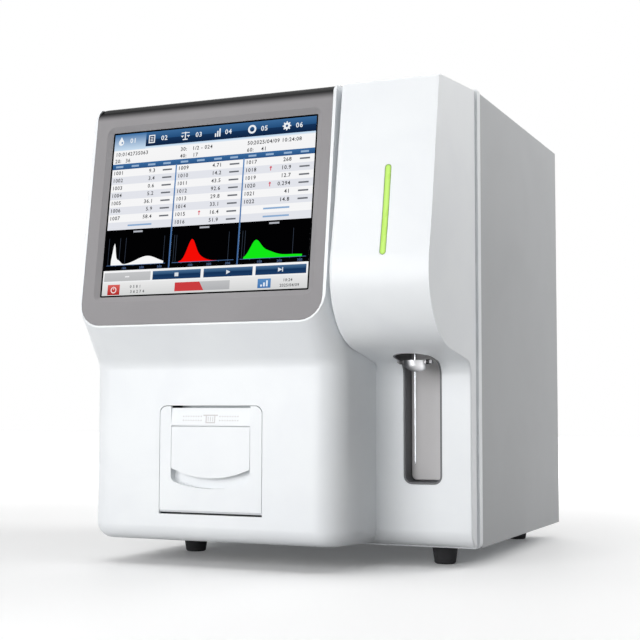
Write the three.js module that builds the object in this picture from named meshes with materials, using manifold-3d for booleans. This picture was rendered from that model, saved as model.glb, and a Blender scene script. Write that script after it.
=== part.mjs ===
// Hematology analyzer: a bench-top blood cell counter with a touch screen, a sample probe and a printer.
// Millimetres, +Z up, +Y to the rear, +X to the right of someone who faces it.
// While it is built, Y = 0 is the joint between the front moulding and the cabinet, and Z = 0 the table.
import * as THREE from "three";
import { mergeVertices } from "three/addons/utils/BufferGeometryUtils.js";
import Module from "manifold-3d";

// Fits and facets
const gap = 0.3;
const overrun = 6;
const weldDistance = 0.0001;
const leastRadius = 0.05;
const tinyRadius = 1.4;
const wideRadius = 30;
const coarseArcStep = Math.PI / 4;
const arcStep = Math.PI / 12;
const fineArcStep = Math.PI / 24;
const thinRodRadius = 4.4;
const slimRodRadius = 10;
const thickRodRadius = 20;
const hexSides = 6;
const smallSides = 8;
const portSides = 8;
const slimSides = 12;
const thickSides = 16;
const fineSides = 24;
const rimSteps = 3;
const bottomSteps = 5;
const sagSteps = 6;

// Head, lower body and column of the front moulding
const headWidth = 252.8;
const headGroove = 4.2;
const columnWidth = 92.9;
const footHeight = 17.1;
const mouldBottomStep = 1.5;
const mouldWall = 3;
const bodyReach = 104.1;
const bodyHeight = 168.9;
const bodyBottomRise = 5.2;
const bodyBottomRadius = 14;
const bodyLeftRadius = 23;
const bodyRightRadius = 27;
const undersideHeight = 33;
const undersideRadius = 18;
const headHeight = 214.8;
const headReach = 100.2;
const headLean = THREE.MathUtils.degToRad(7.47);
const headTopRadius = 12;
const headCornerRadius = 25;
const crownRise = 9.1;
const columnBendRise = 105.9;
const columnBendReach = 120.2;
const columnBendRadius = 300;
const columnTopRadius = 3;
const columnBottomRadius = 16;
const columnLeftEdge = 4;
const columnRightEdge = 2;
const sideDraft = 2;
const noseReach = 142.6;
const noseRise = 22.1;
const noseRadius = 65;
const lowerFaceReach = 14.6;
const overhangHeight = 169.8;
const overhangRadius = 14;
const grooveDepth = 30;
const grooveDrop = 4;
const bridgeLap = 12;

// Sheet-metal cabinet
const mouldSideStep = 0.4;
const cabinetDepth = 311.8;
const rimDepth = 9.5;
const rimProud = 1;
const rimRadius = 5;
const rimWidth = 16;
const neckDepth = 4.5;
const neckInset = 3;
const sheet = 1.2;
const heavySheet = 1.5;
const flange = 10;
const trayFlange = 18;
const bulkheadX = 40;
const bulkheadRearRoom = 35;
const bulkheadWindow = 44;

// Rubber feet
const footTopRadius = 12.3;
const footBottomRadius = 10.2;
const footInsetLeft = 43.6;
const footInsetRight = 39.9;
const footFrontY = 27.9;
const footRearInset = 36.6;
const footChamfer = 1.4;
const footBoreRadius = 4;
const footBoreDepth = 5;

// Display
const lipWidth = 3;
const lipFoot = 2.7;
const lipRise = 2;
const lipEndRadius = 5;
const bezelDepth = 16;
const bezelPlate = 3;
const bezelWall = 2.4;
const bezelRoll = 12;
const bezelCornerRadius = 21;
const screenWidth = 211.2;
const screenHeight = 158.4;
const screenDrop = 26.5;
const screenShift = 1.4;
const screenBorder = 1.5;
const bevelWidth = 5.5;
const bevelRadius = 9;
const windowRadius = 1.5;
const glassLap = 4;
const glassThickness = 1.8;
const moduleLap = 9;
const moduleThickness = 8;
const moduleRib = 3;

// Status light
const lightWidth = 6;
const lightTopDrop = 78.3;
const lightLength = 80.5;
const lightCentreX = 49.5;
const lightDepth = 3.6;
const lightBoardWidth = 12;
const lightBoardThickness = 1.6;
const lightBoardMargin = 5;

// Probe bay
const bayCentreX = 45.9;
const bayHalfWidth = 18.7;
const bayFloorHeight = 58.5;
const bayCornerRadius = 8;
const bayDepth = 16;
const throatCentreReach = 39.9;
const linerWall = 1.5;
const linerTopRise = 20;
const needleHoleRadius = 5;
const keyThickness = 3;
const keyTravel = 1.5;
const keyRoom = 0.5;
const keySideGap = 0.4;
const keyFloorGap = 3.4;
const keyTopGap = 4.4;
const keyCornerRadius = 5;
const keyStemRadius = 2.5;
const keyStemHeight = 48;
const keyStemLength = 14;
const wipeRadius = 10.5;
const wipeRound = 6;
const wipeBaseDrop = 8.3;
const wipeCapRise = 2.2;
const wipeSlope = 0.5;
const wipeBore = 1.8;
const wipeYokeHeight = 3;
const wipeYokeWidth = 5;

// Probe and its drive
const probeReach = 35;
const probeTipHeight = 76.2;
const needleRadius = 0.75;
const sheathRadius = 1.2;
const sheathLength = 44;
const needleLength = 84.5;
const needlePoint = 4;
const hubRadius = 4;
const hubLength = 20;
const hubCollarRadius = 5.5;
const hubCollar = 3;
const probeTravel = 95;
const carriageWidth = 44;
const carriageDepth = 24;
const carriageHeight = 24;
const armWidth = 14;
const armHeight = 10;
const armNose = 8;
const rodSpacing = 30;
const rodRadius = 3;
const screwRadius = 4;
const screwLead = 20;
const driveY = 26;
const towerPlateY = 44;
const towerFlange = 34;
const towerSideMargin = 10;
const motorSize = 28;
const motorLength = 32;
const motorPilotRadius = 9;
const motorPilot = 2;
const motorCorner = 4;

// Printer
const doorWidth = 104.6;
const doorHeight = 97.1;
const doorShift = 1;
const doorRise = 32.9;
const doorCornerRadius = 7;
const doorPlate = 3;
const doorSideGap = 0.6;
const doorFootGap = 1.7;
const doorFootChamfer = 2;
const skirtDepth = 6;
const skirtWall = 1.8;
const slotWidth = 81.8;
const slotDrop = 1.6;
const stripHeight = 18.2;
const stripSink = 2.6;
const stripBacking = 3;
const flapWidth = 80.6;
const flapThickness = 2.4;
const flapGap = 0.4;
const flapSideHeight = 38.8;
const flapArcSag = 8.7;
const flapCornerRadius = 2;
const flapBarrelRadius = 1.9;
const flapPinRadius = 1;
const flapPinLength = 1.6;
const scoopSideDrop = 11.5;
const scoopSag = 6.8;
const scoopDepth = 8;
const scoopCornerRadius = 6;
const scoopStepRadius = 6;
const pocketWall = 1.6;
const hingeSet = 4.7;
const hingeRise = 3.5;
const knuckleRadius = 3.4;
const knuckleLength = 94;
const hingePinRadius = 1.2;
const hingePinLength = 6;
const platenRadius = 6;
const platenLength = 80;
const platenSet = 13;
const platenDrop = 12.5;
const platenShaftRadius = 2;
const platenShaftLength = 6;
const earThickness = 2.5;
const earRadius = 5.6;
const paperWidth = 79.5;
const paperRadius = 21;
const paperCoreRadius = 6.3;
const cradleRadius = 22.5;
const cradleRise = 12.5;
const rollSet = 36;
const bucketWall = 2;
const bucketHeadroom = 5;
const bucketFlange = 6;
const printHeadDepth = 7;
const printHeadHeight = 22;
const printHeadFin = 3;
const printHeadSlotCount = 5;

// Fluidics
const bracketSheet = 2;
const bathRadius = 13;
const bathWall = 1.5;
const bathHeight = 40;
const bathCone = 14;
const bathSpoutRadius = 3;
const bathSpout = 8;
const bathRim = 2.5;
const bathBracketHeight = 130;
const bathFirstY = 88;
const bathPitch = 44;
const bathMargin = 12;
const syringeY = 205;
const syringeSet = 34;
const syringeRadius = 11;
const syringeWall = 1.6;
const syringeLength = 70;
const syringeTopHeight = 260;
const syringeNozzleRadius = 3;
const syringeNozzle = 7;
const pistonLength = 10;
const plungerRodRadius = 3;
const plungerRodLength = 100;
const syringePlateWidth = 50;
const syringeShelf = 46;
const manifoldY = 130;
const manifoldWidth = 110;
const manifoldHeight = 34;
const manifoldDepth = 22;
const manifoldRise = 300;
const valveRadius = 8;
const valveLength = 24;
const valveCount = 4;
const pumpX = 118;
const pumpY = 262;
const pumpRadius = 18;
const pumpLength = 48;
const pumpHead = 44;
const pumpHeadHeight = 20;
const pumpBase = 3;
const pumpFootMargin = 5;
const chamberX = 118;
const chamberY = 190;
const chamberRadius = 30;
const chamberHeight = 70;
const chamberCapHeight = 8;
const chamberCapProud = 3;
const chamberNeckRadius = 4;
const chamberNeck = 9;

// Electronics
const boardThickness = 1.6;
const boardStandoff = 8;
const boardStandoffRadius = 3;
const boardY = 60;
const boardLength = 200;
const boardRise = 130;
const boardHeight = 190;
const boardMargin = 12;
const chipSize = 30;
const chipHeight = 3;
const headerHeight = 9;
const headerWidth = 8;
const supplyX = -108;
const supplyWidth = 98;
const supplyHeight = 42;
const supplyLength = 180;
const supplyRearRoom = 40;
const supplySlot = 4;
const supplySlotPitch = 9;
const supplySlotCount = 9;
const supplySlotLength = 60;

// Fan
const fanSize = 80;
const fanDepth = 25;
const fanX = -92;
const fanDrop = 95.8;
const fanBore = 38;
const fanCorner = 4;
const fanHubRadius = 18;
const fanBladeRadius = 36.5;
const fanBladeThickness = 1.6;
const fanBladeCount = 7;
const fanBladeTwist = THREE.MathUtils.degToRad(38);
const fanBladeDepth = 15;
const fanSpokeWidth = 4;
const fanSpokeDepth = 3;
const fanSpokeCount = 4;
const fanAxleRadius = 3;
const fanAxleLength = 6;
const grilleSlot = 6.5;
const grillePitch = 9.5;
const grilleFirstRadius = 9;
const grilleRingCount = 3;
const grilleSpokeWidth = 5;

// Rear sockets
const inletX = -118;
const inletRise = 66;
const inletWidth = 28;
const inletHeight = 20;
const inletDepth = 20;
const inletFlangeRadius = 4;
const inletMargin = 5;
const inletFlange = 3;
const inletCavityWidth = 24;
const inletCavityHeight = 16.5;
const inletCavityDepth = 16;
const inletCavityRadius = 4.5;
const inletPinWidth = 2;
const inletPinHeight = 4;
const inletPinLength = 13;
const inletPinSpacing = 14;
const inletPinDrop = 2;
const inletEarthRise = 2;
const rockerStep = 30;
const rockerWidth = 11;
const rockerHeight = 20;
const rockerClear = 0.6;
const rockerWall = 1.5;
const rockerProud = 3;
const rockerDish = 1.6;
const rockerInner = 5;
const rockerInnerShare = 0.4;
const rockerAxisSet = 1.5;
const rockerPinRadius = 1.2;
const rockerPinLength = 1.6;
const rockerAngle = 8;
const portRise = 118;
const portFirstX = 58;
const portPitch = 26;
const portFlangeRadius = 9;
const portFlange = 3;
const portBodyRadius = 6;
const portReach = 15.2;
const portBarbRadius = 3.6;
const portNeckRadius = 2.8;
const portBoreRadius = 1.6;
const portBarbs = 2;
const portBarbPitch = 4;
const portTail = 12;
const sensorX = 136;
const sensorRise = 160;
const sensorRadius = 6;
const sensorFlangeRadius = 9;
const sensorReach = 9;
const sensorBoreRadius = 4.4;
const sensorPinRadius = 0.8;
const sensorPinRing = 2.4;
const sensorPins = 4;
const serialX = -22;
const dataRise = 150;
const serialWidth = 31;
const serialHeight = 12.5;
const serialShellWidth = 17;
const serialShellHeight = 8.4;
const serialShellReach = 6;
const serialFlange = 2;
const serialRim = 0.8;
const serialRadius = 1;
const serialSlant = 2;
const serialScrewRadius = 2.4;
const serialScrewReach = 5;
const serialScrewSpacing = 25;
const socketDepth = 13;
const usbX = -62;
const usbWidth = 14.4;
const usbHeight = 16;
const usbSlotWidth = 12.4;
const usbSlotHeight = 5.1;
const usbSlotPitch = 7.6;
const usbSlotDepth = 10;
const usbTongue = 1.8;
const usbTongueSet = 1.2;
const networkX = 14;
const networkWidth = 16;
const networkHeight = 14.5;
const networkCavityWidth = 11.8;
const networkCavityHeight = 7.4;
const networkKeyWidth = 6;
const networkKeyHeight = 2.4;
const networkDepth = 11;
const socketProud = 1.4;
const earthX = -32;
const earthPostRadius = 3;
const earthNutRadius = 6.5;
const earthNut = 4;
const earthReach = 13;
const earthWasher = 1.5;
const earthWasherRadius = 8;
const earthTail = 8;
const cutGap = 0.4;

// Main planes, worked out from the sizes above
const mouldWidth = headWidth + headGroove + columnWidth;
const mouldLeft = -mouldWidth / 2;
const mouldRight = mouldWidth / 2;
const headRight = mouldLeft + headWidth;
const columnLeft = headRight + headGroove;
const cabinetSide = mouldWidth / 2 + mouldSideStep;
const baseZ = footHeight;
const mouldBottomZ = baseZ + mouldBottomStep;
const bodyTopZ = baseZ + bodyHeight;
const lipBottomZ = bodyTopZ + undersideHeight;
const headTopZ = lipBottomZ + headHeight;
const topZ = headTopZ + crownRise;
const overhangZ = baseZ + overhangHeight;
const noseZ = overhangZ + noseRise;
const rimFrontY = neckDepth;
const rimRearY = neckDepth + rimDepth;
const rearY = rimRearY + cabinetDepth;
const crownSlope = crownRise / headReach;
const bayX = columnLeft + bayCentreX;
const bayFloorZ = baseZ + bayFloorHeight;

const wasm = await Module();
wasm.setup();

// A closed geometry as a solid: shared corners are welded and faces that collapse on an axis are left out.
function solidOf(geometry, matrix = new THREE.Matrix4()) {
  const bare = new THREE.BufferGeometry();
  bare.setAttribute("position", geometry.getAttribute("position").clone());
  if (geometry.index) bare.setIndex(geometry.index);
  bare.applyMatrix4(matrix);
  const welded = mergeVertices(bare, weldDistance);
  const index = welded.index.array;
  const kept = [];
  for (let i = 0; i < index.length; i += 3) {
    const [a, b, c] = [index[i], index[i + 1], index[i + 2]];
    if (a !== b && b !== c && c !== a) kept.push(a, b, c);
  }
  const made = new wasm.Mesh({
    numProp: 3,
    vertProperties: welded.attributes.position.array,
    triVerts: new Uint32Array(kept),
  });
  return new wasm.Manifold(made);
}

const join = (first, ...others) => others.reduce((sum, other) => sum.add(other), first);
const cut = (first, ...others) => others.reduce((rest, other) => rest.subtract(other), first);
const common = (first, ...others) => others.reduce((rest, other) => rest.intersect(other), first);

// Small rounds get coarser steps than large ones.
function arcStepFor(radius) {
  if (radius < tinyRadius) return coarseArcStep;
  return radius < wideRadius ? arcStep : fineArcStep;
}

// A closed outline from corners [u, v, radius], listed anticlockwise and moved inwards by inset.
function outline(corners, inset = 0) {
  const points = [];
  const count = corners.length;
  corners.forEach(([u, v, radius = 0], i) => {
    const [pu, pv] = corners[(i + count - 1) % count];
    const [nu, nv] = corners[(i + 1) % count];
    const arriving = new THREE.Vector2(u - pu, v - pv).normalize();
    const leaving = new THREE.Vector2(nu - u, nv - v).normalize();
    const turn = Math.atan2(arriving.cross(leaving), arriving.dot(leaving));
    const shift = inset / (1 + arriving.dot(leaving));
    const corner = new THREE.Vector2(
      u - (arriving.y + leaving.y) * shift,
      v + (arriving.x + leaving.x) * shift,
    );
    const side = Math.sign(turn) || 1;
    const bend = radius > 0 ? Math.max(radius - side * inset, leastRadius) : 0;
    if (bend === 0) {
      points.push(corner);
      return;
    }
    const start = corner.clone().addScaledVector(arriving, -bend * Math.tan(Math.abs(turn) / 2));
    const normal = new THREE.Vector2(-arriving.y, arriving.x).multiplyScalar(side);
    const centre = start.clone().addScaledVector(normal, bend);
    const steps = Math.max(1, Math.ceil(Math.abs(turn) / arcStepFor(radius)));
    for (let k = 0; k <= steps; k++) {
      points.push(start.clone().rotateAround(centre, (turn * k) / steps));
    }
  });
  return points;
}

// A rectangle's corners, with one radius or one for each corner from the low one anticlockwise.
function rectangle(u0, u1, v0, v1, radii = 0) {
  const [a, b, c, d] = Array.isArray(radii) ? radii : [radii, radii, radii, radii];
  return [[u0, v0, a], [u1, v0, b], [u1, v1, c], [u0, v1, d]];
}

// The two ends of a width about its middle, and the same for a pair of distances on one side of the centre.
const span = (middle, width) => [middle - width / 2, middle + width / 2];
const sideSpan = (side, a, b) => [Math.min(side * a, side * b), Math.max(side * a, side * b)];

const around = (u, v, width, height, radius = 0) => outline(
  rectangle(...span(u, width), ...span(v, height), radius));

function prism(points, length, matrix) {
  const shape = new THREE.Shape(points);
  const geometry = new THREE.ExtrudeGeometry(shape, { depth: length, bevelEnabled: false });
  return solidOf(geometry, matrix);
}

const xAxis = new THREE.Vector3(1, 0, 0);
const yAxis = new THREE.Vector3(0, 1, 0);
const zAxis = new THREE.Vector3(0, 0, 1);

// Outlines drawn in (y, z), (x, z) or (x, y) and drawn out along the remaining axis.
function alongX(points, x0, x1) {
  return prism(points, x1 - x0, new THREE.Matrix4().makeBasis(yAxis, zAxis, xAxis).setPosition(x0, 0, 0));
}

function alongY(points, y0, y1) {
  const back = yAxis.clone().negate();
  return prism(points, y1 - y0, new THREE.Matrix4().makeBasis(xAxis, zAxis, back).setPosition(0, y1, 0));
}

function alongZ(points, z0, z1) {
  return prism(points, z1 - z0, new THREE.Matrix4().setPosition(0, 0, z0));
}

function block(x0, x1, y0, y1, z0, z1) {
  const geometry = new THREE.BoxGeometry(x1 - x0, y1 - y0, z1 - z0);
  return solidOf(geometry, new THREE.Matrix4().setPosition((x0 + x1) / 2, (y0 + y1) / 2, (z0 + z1) / 2));
}

// A turned piece from a profile of [radius, height] points that runs upwards, about an axis through a point.
const uprights = {
  x: new THREE.Matrix4().makeRotationZ(-Math.PI / 2),
  y: new THREE.Matrix4(),
  z: new THREE.Matrix4().makeRotationX(Math.PI / 2),
};

// Small rounds get fewer sides than large ones.
function sidesFor(radius) {
  if (radius <= thinRodRadius) return smallSides;
  if (radius <= slimRodRadius) return slimSides;
  return radius <= thickRodRadius ? thickSides : fineSides;
}

const widest = (profile) => Math.max(...profile.map(([radius]) => radius));

function turned(profile, axis, place, sides = sidesFor(widest(profile))) {
  const points = profile.map(([radius, height]) => new THREE.Vector2(radius, height));
  const matrix = new THREE.Matrix4().makeTranslation(...place).multiply(uprights[axis]);
  return solidOf(new THREE.LatheGeometry(points, sides), matrix);
}

function rod(radius, length, axis, place, sides) {
  return turned([[0, 0], [radius, 0], [radius, length], [0, length]], axis, place, sides);
}

// A closed skin over rings of equal point count, listed from the lowest to the highest.
function loft(rings, matrix) {
  const count = rings[0].length;
  const positions = rings.flat().flatMap((p) => [p.x, p.y, p.z]);
  const index = [];
  for (let r = 0; r + 1 < rings.length; r++) {
    for (let k = 0; k < count; k++) {
      const a = r * count + k;
      const b = r * count + ((k + 1) % count);
      index.push(a, b, b + count, a, b + count, a + count);
    }
  }
  const flat = (ring) => ring.map((p) => new THREE.Vector2(p.x, p.y));
  const top = (rings.length - 1) * count;
  for (const [a, b, c] of THREE.ShapeUtils.triangulateShape(flat(rings[0]), [])) {
    index.push(a, c, b);
  }
  for (const [a, b, c] of THREE.ShapeUtils.triangulateShape(flat(rings.at(-1)), [])) {
    index.push(top + a, top + b, top + c);
  }
  const geometry = new THREE.BufferGeometry();
  geometry.setAttribute("position", new THREE.Float32BufferAttribute(positions, 3));
  geometry.setIndex(index);
  return solidOf(geometry, matrix);
}

// A plate from an outline's corners, with the rims of its two faces rounded by their own radii.
function cushion(corners, length, startRadius, endRadius, matrix) {
  const rings = [];
  const ring = (inset, z) => outline(corners, inset).map((p) => new THREE.Vector3(p.x, p.y, z));
  for (let k = startRadius > 0 ? 0 : rimSteps; k <= rimSteps; k++) {
    const angle = (Math.PI / 2) * (k / rimSteps);
    rings.push(ring(startRadius * (1 - Math.sin(angle)), startRadius * (1 - Math.cos(angle))));
  }
  for (let k = endRadius > 0 ? 0 : rimSteps; k <= rimSteps; k++) {
    const angle = (Math.PI / 2) * (k / rimSteps);
    rings.push(ring(endRadius * (1 - Math.cos(angle)), length - endRadius * (1 - Math.sin(angle))));
  }
  return loft(rings, matrix);
}

// The display's own frame, from the middle of its top edge: x to the right, y up the face, z out of it.
const headMiddle = (mouldLeft + headRight) / 2;
const displayUp = new THREE.Vector3(0, Math.sin(headLean), Math.cos(headLean));
const displayOut = new THREE.Vector3(0, -Math.cos(headLean), Math.sin(headLean));
const displayFrame = new THREE.Matrix4()
  .makeBasis(xAxis, displayUp, displayOut)
  .setPosition(headMiddle, -headReach, headTopZ);

function onDisplay(points, back, front) {
  const start = new THREE.Matrix4().setPosition(0, 0, back);
  return prism(points, front - back, displayFrame.clone().multiply(start));
}

// A sloping-sided plug in the display's frame, from one outline at the back to a wider one in front.
function taperOnDisplay(backPoints, back, frontPoints, front) {
  const at = (points, z) => points.map((p) => new THREE.Vector3(p.x, p.y, z));
  return loft([at(backPoints, back), at(frontPoints, front)], displayFrame);
}

const finishes = {
  white: { color: 0xf2f4f5, roughness: 0.35, metalness: 0 },
  grey: { color: 0xa9adb0, roughness: 0.5, metalness: 0.1 },
  bezel: { color: 0x908c90, roughness: 0.35, metalness: 0.1 },
  dark: { color: 0x2c2d30, roughness: 0.45, metalness: 0 },
  black: { color: 0x161618, roughness: 0.5, metalness: 0 },
  rubber: { color: 0x1d1d1e, roughness: 0.85, metalness: 0 },
  steel: { color: 0xbfc3c7, roughness: 0.3, metalness: 1 },
  zinc: { color: 0xb9bcbe, roughness: 0.45, metalness: 0.9 },
  glass: { color: 0x20242a, roughness: 0.08, metalness: 0 },
  light: { color: 0xb6ec4a, roughness: 0.3, metalness: 0 },
  key: { color: 0xb4b3b4, roughness: 0.3, metalness: 0 },
  board: { color: 0x2f6b3f, roughness: 0.5, metalness: 0 },
  paper: { color: 0xf4f1ea, roughness: 0.9, metalness: 0 },
  clear: { color: 0xdfe7ea, roughness: 0.1, metalness: 0 },
  brass: { color: 0xc9a45a, roughness: 0.35, metalness: 1 },
  green: { color: 0x3f9a57, roughness: 0.45, metalness: 0 },
  blue: { color: 0x2f6fb4, roughness: 0.45, metalness: 0 },
  orange: { color: 0xd9822b, roughness: 0.45, metalness: 0 },
  red: { color: 0xb53430, roughness: 0.45, metalness: 0 },
};

const analyzer = new THREE.Group();

function piece(name, solid, finish) {
  const made = solid.getMesh();
  const geometry = new THREE.BufferGeometry();
  geometry.setAttribute("position", new THREE.BufferAttribute(new Float32Array(made.vertProperties), 3));
  geometry.setIndex(new THREE.BufferAttribute(new Uint32Array(made.triVerts), 1));
  geometry.computeVertexNormals();
  const mesh = new THREE.Mesh(geometry, new THREE.MeshStandardMaterial(finishes[finish]));
  mesh.name = name;
  analyzer.add(mesh);
  return mesh;
}

// Front moulding: one shell of a head, a lower body and a column with a nose.
const crownZ = (y) => topZ + (crownSlope * y);
const columnCorners = (topRadius) => [
  [-lowerFaceReach, mouldBottomZ, columnBottomRadius],
  [overrun, mouldBottomZ],
  [overrun, crownZ(overrun)],
  [-headReach, crownZ(-headReach), topRadius],
  [-columnBendReach, noseZ + columnBendRise, columnBendRadius],
  [-noseReach, noseZ, noseRadius],
  [-lowerFaceReach, overhangZ, overhangRadius],
];

// Everything behind the leaning display face and under the sloping crown.
function headEnvelope(inset, roll) {
  const foot = headHeight + undersideHeight + bodyHeight;
  const corners = [
    [-headReach - foot * Math.tan(headLean), headTopZ - foot],
    [overrun, headTopZ - foot],
    [overrun, crownZ(overrun)],
    [-headReach, crownZ(-headReach), roll],
  ];
  return alongX(outline(corners, inset), mouldLeft - overrun, headRight + overrun);
}

// The lower body and head as a skin over level rings. Their front follows the side profile up to the display.
function bodySkin(inset) {
  const underSlope = Math.atan2(bodyReach / bodyHeight, 1);
  const lipReach = bodyReach + undersideHeight * Math.tan(underSlope + headLean / 2);
  const above = topZ + overrun;
  const stations = [];
  const radius = bodyBottomRadius;
  for (let k = 0; k <= bottomSteps; k++) {
    const angle = (Math.PI / 2) * (k / bottomSteps);
    stations.push({
      z: mouldBottomZ + (radius - (radius - inset) * Math.cos(angle)),
      retreat: radius - (radius - inset) * Math.sin(angle),
      front: 0,
      tilt: 1,
    });
  }
  const profile = outline([
    [0, 0],
    [bodyReach, 0],
    [bodyReach, bodyTopZ, undersideRadius],
    [lipReach + (lipReach - bodyReach), bodyTopZ + 2 * undersideHeight],
    [lipReach + (lipReach - bodyReach), above],
    [0, above],
  ], inset);
  for (const p of profile.slice(2, -1)) {
    stations.push({ z: p.y, retreat: inset, front: p.x - (bodyReach - inset), tilt: 0 });
  }
  const narrowing = (z) => THREE.MathUtils.smoothstep(z, bodyTopZ, lipBottomZ + undersideHeight) * headGroove;
  const rings = stations.map(({ z, retreat, front, tilt }) => {
    const x0 = mouldLeft + retreat;
    const x1 = columnLeft - retreat - narrowing(z);
    const y0 = -bodyReach + retreat - front;
    const swell = THREE.MathUtils.smoothstep(z, bodyTopZ, lipBottomZ);
    const left = THREE.MathUtils.lerp(bodyLeftRadius, headCornerRadius, swell);
    const right = THREE.MathUtils.lerp(bodyRightRadius, headCornerRadius, swell);
    const radii = [left - retreat, right - retreat, 0, 0];
    const rise = (y) => (bodyBottomRise * tilt * -y) / bodyReach;
    return outline(rectangle(x0, x1, y0, overrun, radii)).map(
      (p) => new THREE.Vector3(p.x, p.y, z + rise(p.y)),
    );
  });
  return loft(rings);
}

// The head seen from the front: its outer top corner is rounded and its top follows the crown's slope.
function underCrown(points) {
  const slope = new THREE.Matrix4().makeShear(0, 0, 0, crownSlope, 0, 0);
  return alongY(points, -bodyReach - noseReach, overrun).transform(slope.elements);
}

function headFront(inset) {
  const corners = rectangle(mouldLeft, columnLeft + overrun, 0, topZ, [0, 0, 0, headTopRadius]);
  return underCrown(outline(corners, inset));
}

function bodySolid(inset) {
  return common(bodySkin(inset), headEnvelope(inset, columnTopRadius), headFront(inset));
}

const columnOuter = cushion(
  columnCorners(columnTopRadius), columnWidth, columnLeftEdge, columnRightEdge,
  new THREE.Matrix4().makeBasis(yAxis, zAxis, xAxis).setPosition(columnLeft, 0, 0),
);
const bridgeProfile = (inset) => outline([
  [overrun, overhangZ],
  [overrun, crownZ(overrun) - grooveDrop],
  [grooveDepth - headReach, crownZ(-headReach) - grooveDrop, columnTopRadius + mouldWall],
  [grooveDepth - columnBendReach, noseZ + columnBendRise, columnBendRadius],
  [grooveDepth - noseReach, noseZ, noseRadius],
  [-lowerFaceReach, overhangZ],
], inset);
const bridge = alongX(bridgeProfile(0), columnLeft - bridgeLap, columnLeft + bridgeLap);
const bridgeHollow = alongX(
  bridgeProfile(mouldWall), columnLeft - bridgeLap - overrun, columnLeft + bridgeLap + overrun);
const lowerBand = alongX(
  outline([
    [-lowerFaceReach, mouldBottomZ, columnBottomRadius],
    [overrun, mouldBottomZ],
    [overrun, overhangZ],
    [-lowerFaceReach, overhangZ],
  ]), columnLeft - bridgeLap, columnLeft + columnLeftEdge);
const behindJoint = block(
  mouldLeft - overrun, mouldRight + overrun, 0, overrun + rimRearY, 0, topZ + overrun + crownRise);

// What the draft of the right side takes away: the column is narrower in front than at the cabinet.
const besideDraft = (inset) => alongZ([
  new THREE.Vector2(mouldRight - inset - sideDraft, -noseReach - overrun),
  new THREE.Vector2(mouldRight + overrun, -noseReach - overrun),
  new THREE.Vector2(mouldRight + overrun, 0),
  new THREE.Vector2(mouldRight - inset, 0),
], 0, topZ + overrun);
const mouldOuter = cut(join(bodySolid(0), columnOuter, bridge, lowerBand), behindJoint, besideDraft(0));
const columnInner = cut(
  alongX(outline(columnCorners(columnTopRadius), mouldWall), columnLeft + mouldWall, mouldRight - mouldWall),
  besideDraft(mouldWall));
const mouldInner = join(bodySolid(mouldWall), columnInner, bridgeHollow);

// Display bezel: its front follows the leaning plane and its top edge rolls back to the crown. Seen from the
// front it is rounded with the head at its left, and flares over the end of the lip at its right.
const bezelFoot = -(headHeight / Math.cos(headLean)) + lipFoot;
const bezelHalf = headWidth / 2 - lipWidth;
const bezelLeft = mouldLeft + lipWidth;
const bezelRight = headRight - lipWidth;
const bezelTopZ = topZ + lipRise;
const bezelRadii = [bezelCornerRadius, bezelCornerRadius, 0, 0];
const bezelCorners = rectangle(-bezelHalf, bezelHalf, bezelFoot, 2 * overrun, bezelRadii);
const bezelFront = (inset) => underCrown(outline(
  rectangle(bezelLeft, bezelRight, 0, bezelTopZ, [0, 0, 0, headTopRadius]), inset));
const flaredFront = (inset) => underCrown(outline([
  [bezelLeft, 0],
  [bezelRight, 0],
  [bezelRight, topZ, lipEndRadius],
  [headRight + headGroove / 2, topZ],
  [headRight + headGroove / 2, bezelTopZ],
  [bezelLeft, bezelTopZ, headTopRadius],
], inset));
const bezelField = (inset, right, back, front) => join(
  onDisplay(outline(bezelCorners, inset), back, front),
  onDisplay(outline(rectangle(bezelHalf - lipWidth, right, -2 * lipEndRadius, 2 * overrun)), back, front));
const bezelOpening = common(
  bezelField(0, (headWidth + headGroove) / 2, -bezelDepth - gap, overrun), flaredFront(0));
const screenCentre = -(screenDrop + screenHeight / 2);
const screenRectangle = (margin, radius) => outline(rectangle(
  ...span(screenShift, screenWidth + 2 * margin), ...span(screenCentre, screenHeight + 2 * margin), radius));
const bezelBlank = common(
  bezelField(gap, headWidth / 2 - gap, -bezelDepth, 0),
  headEnvelope(0, bezelRoll), flaredFront(gap), headFront(0));
const bezelHollow = common(
  onDisplay(outline(bezelCorners, gap + bezelWall), -2 * bezelDepth, -bezelPlate),
  headEnvelope(bezelPlate, bezelRoll), bezelFront(gap + bezelWall));
const bevelPlug = taperOnDisplay(
  screenRectangle(screenBorder, windowRadius), -bezelPlate - leastRadius,
  screenRectangle(screenBorder + bevelWidth, bevelRadius), leastRadius);
piece("display_bezel", cut(bezelBlank, bezelHollow, bevelPlug), "bezel");
const glassBack = -bezelPlate - gap - glassThickness;
piece("touch_glass", onDisplay(
  screenRectangle(screenBorder + glassLap, windowRadius), glassBack, -bezelPlate - gap), "glass");
const moduleBack = glassBack - gap - moduleThickness;
piece("lcd_module", cut(
  onDisplay(screenRectangle(moduleLap, windowRadius), moduleBack, glassBack - gap),
  onDisplay(screenRectangle(moduleLap - moduleRib, windowRadius), moduleBack - overrun,
    moduleBack + moduleRib)), "zinc");

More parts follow.
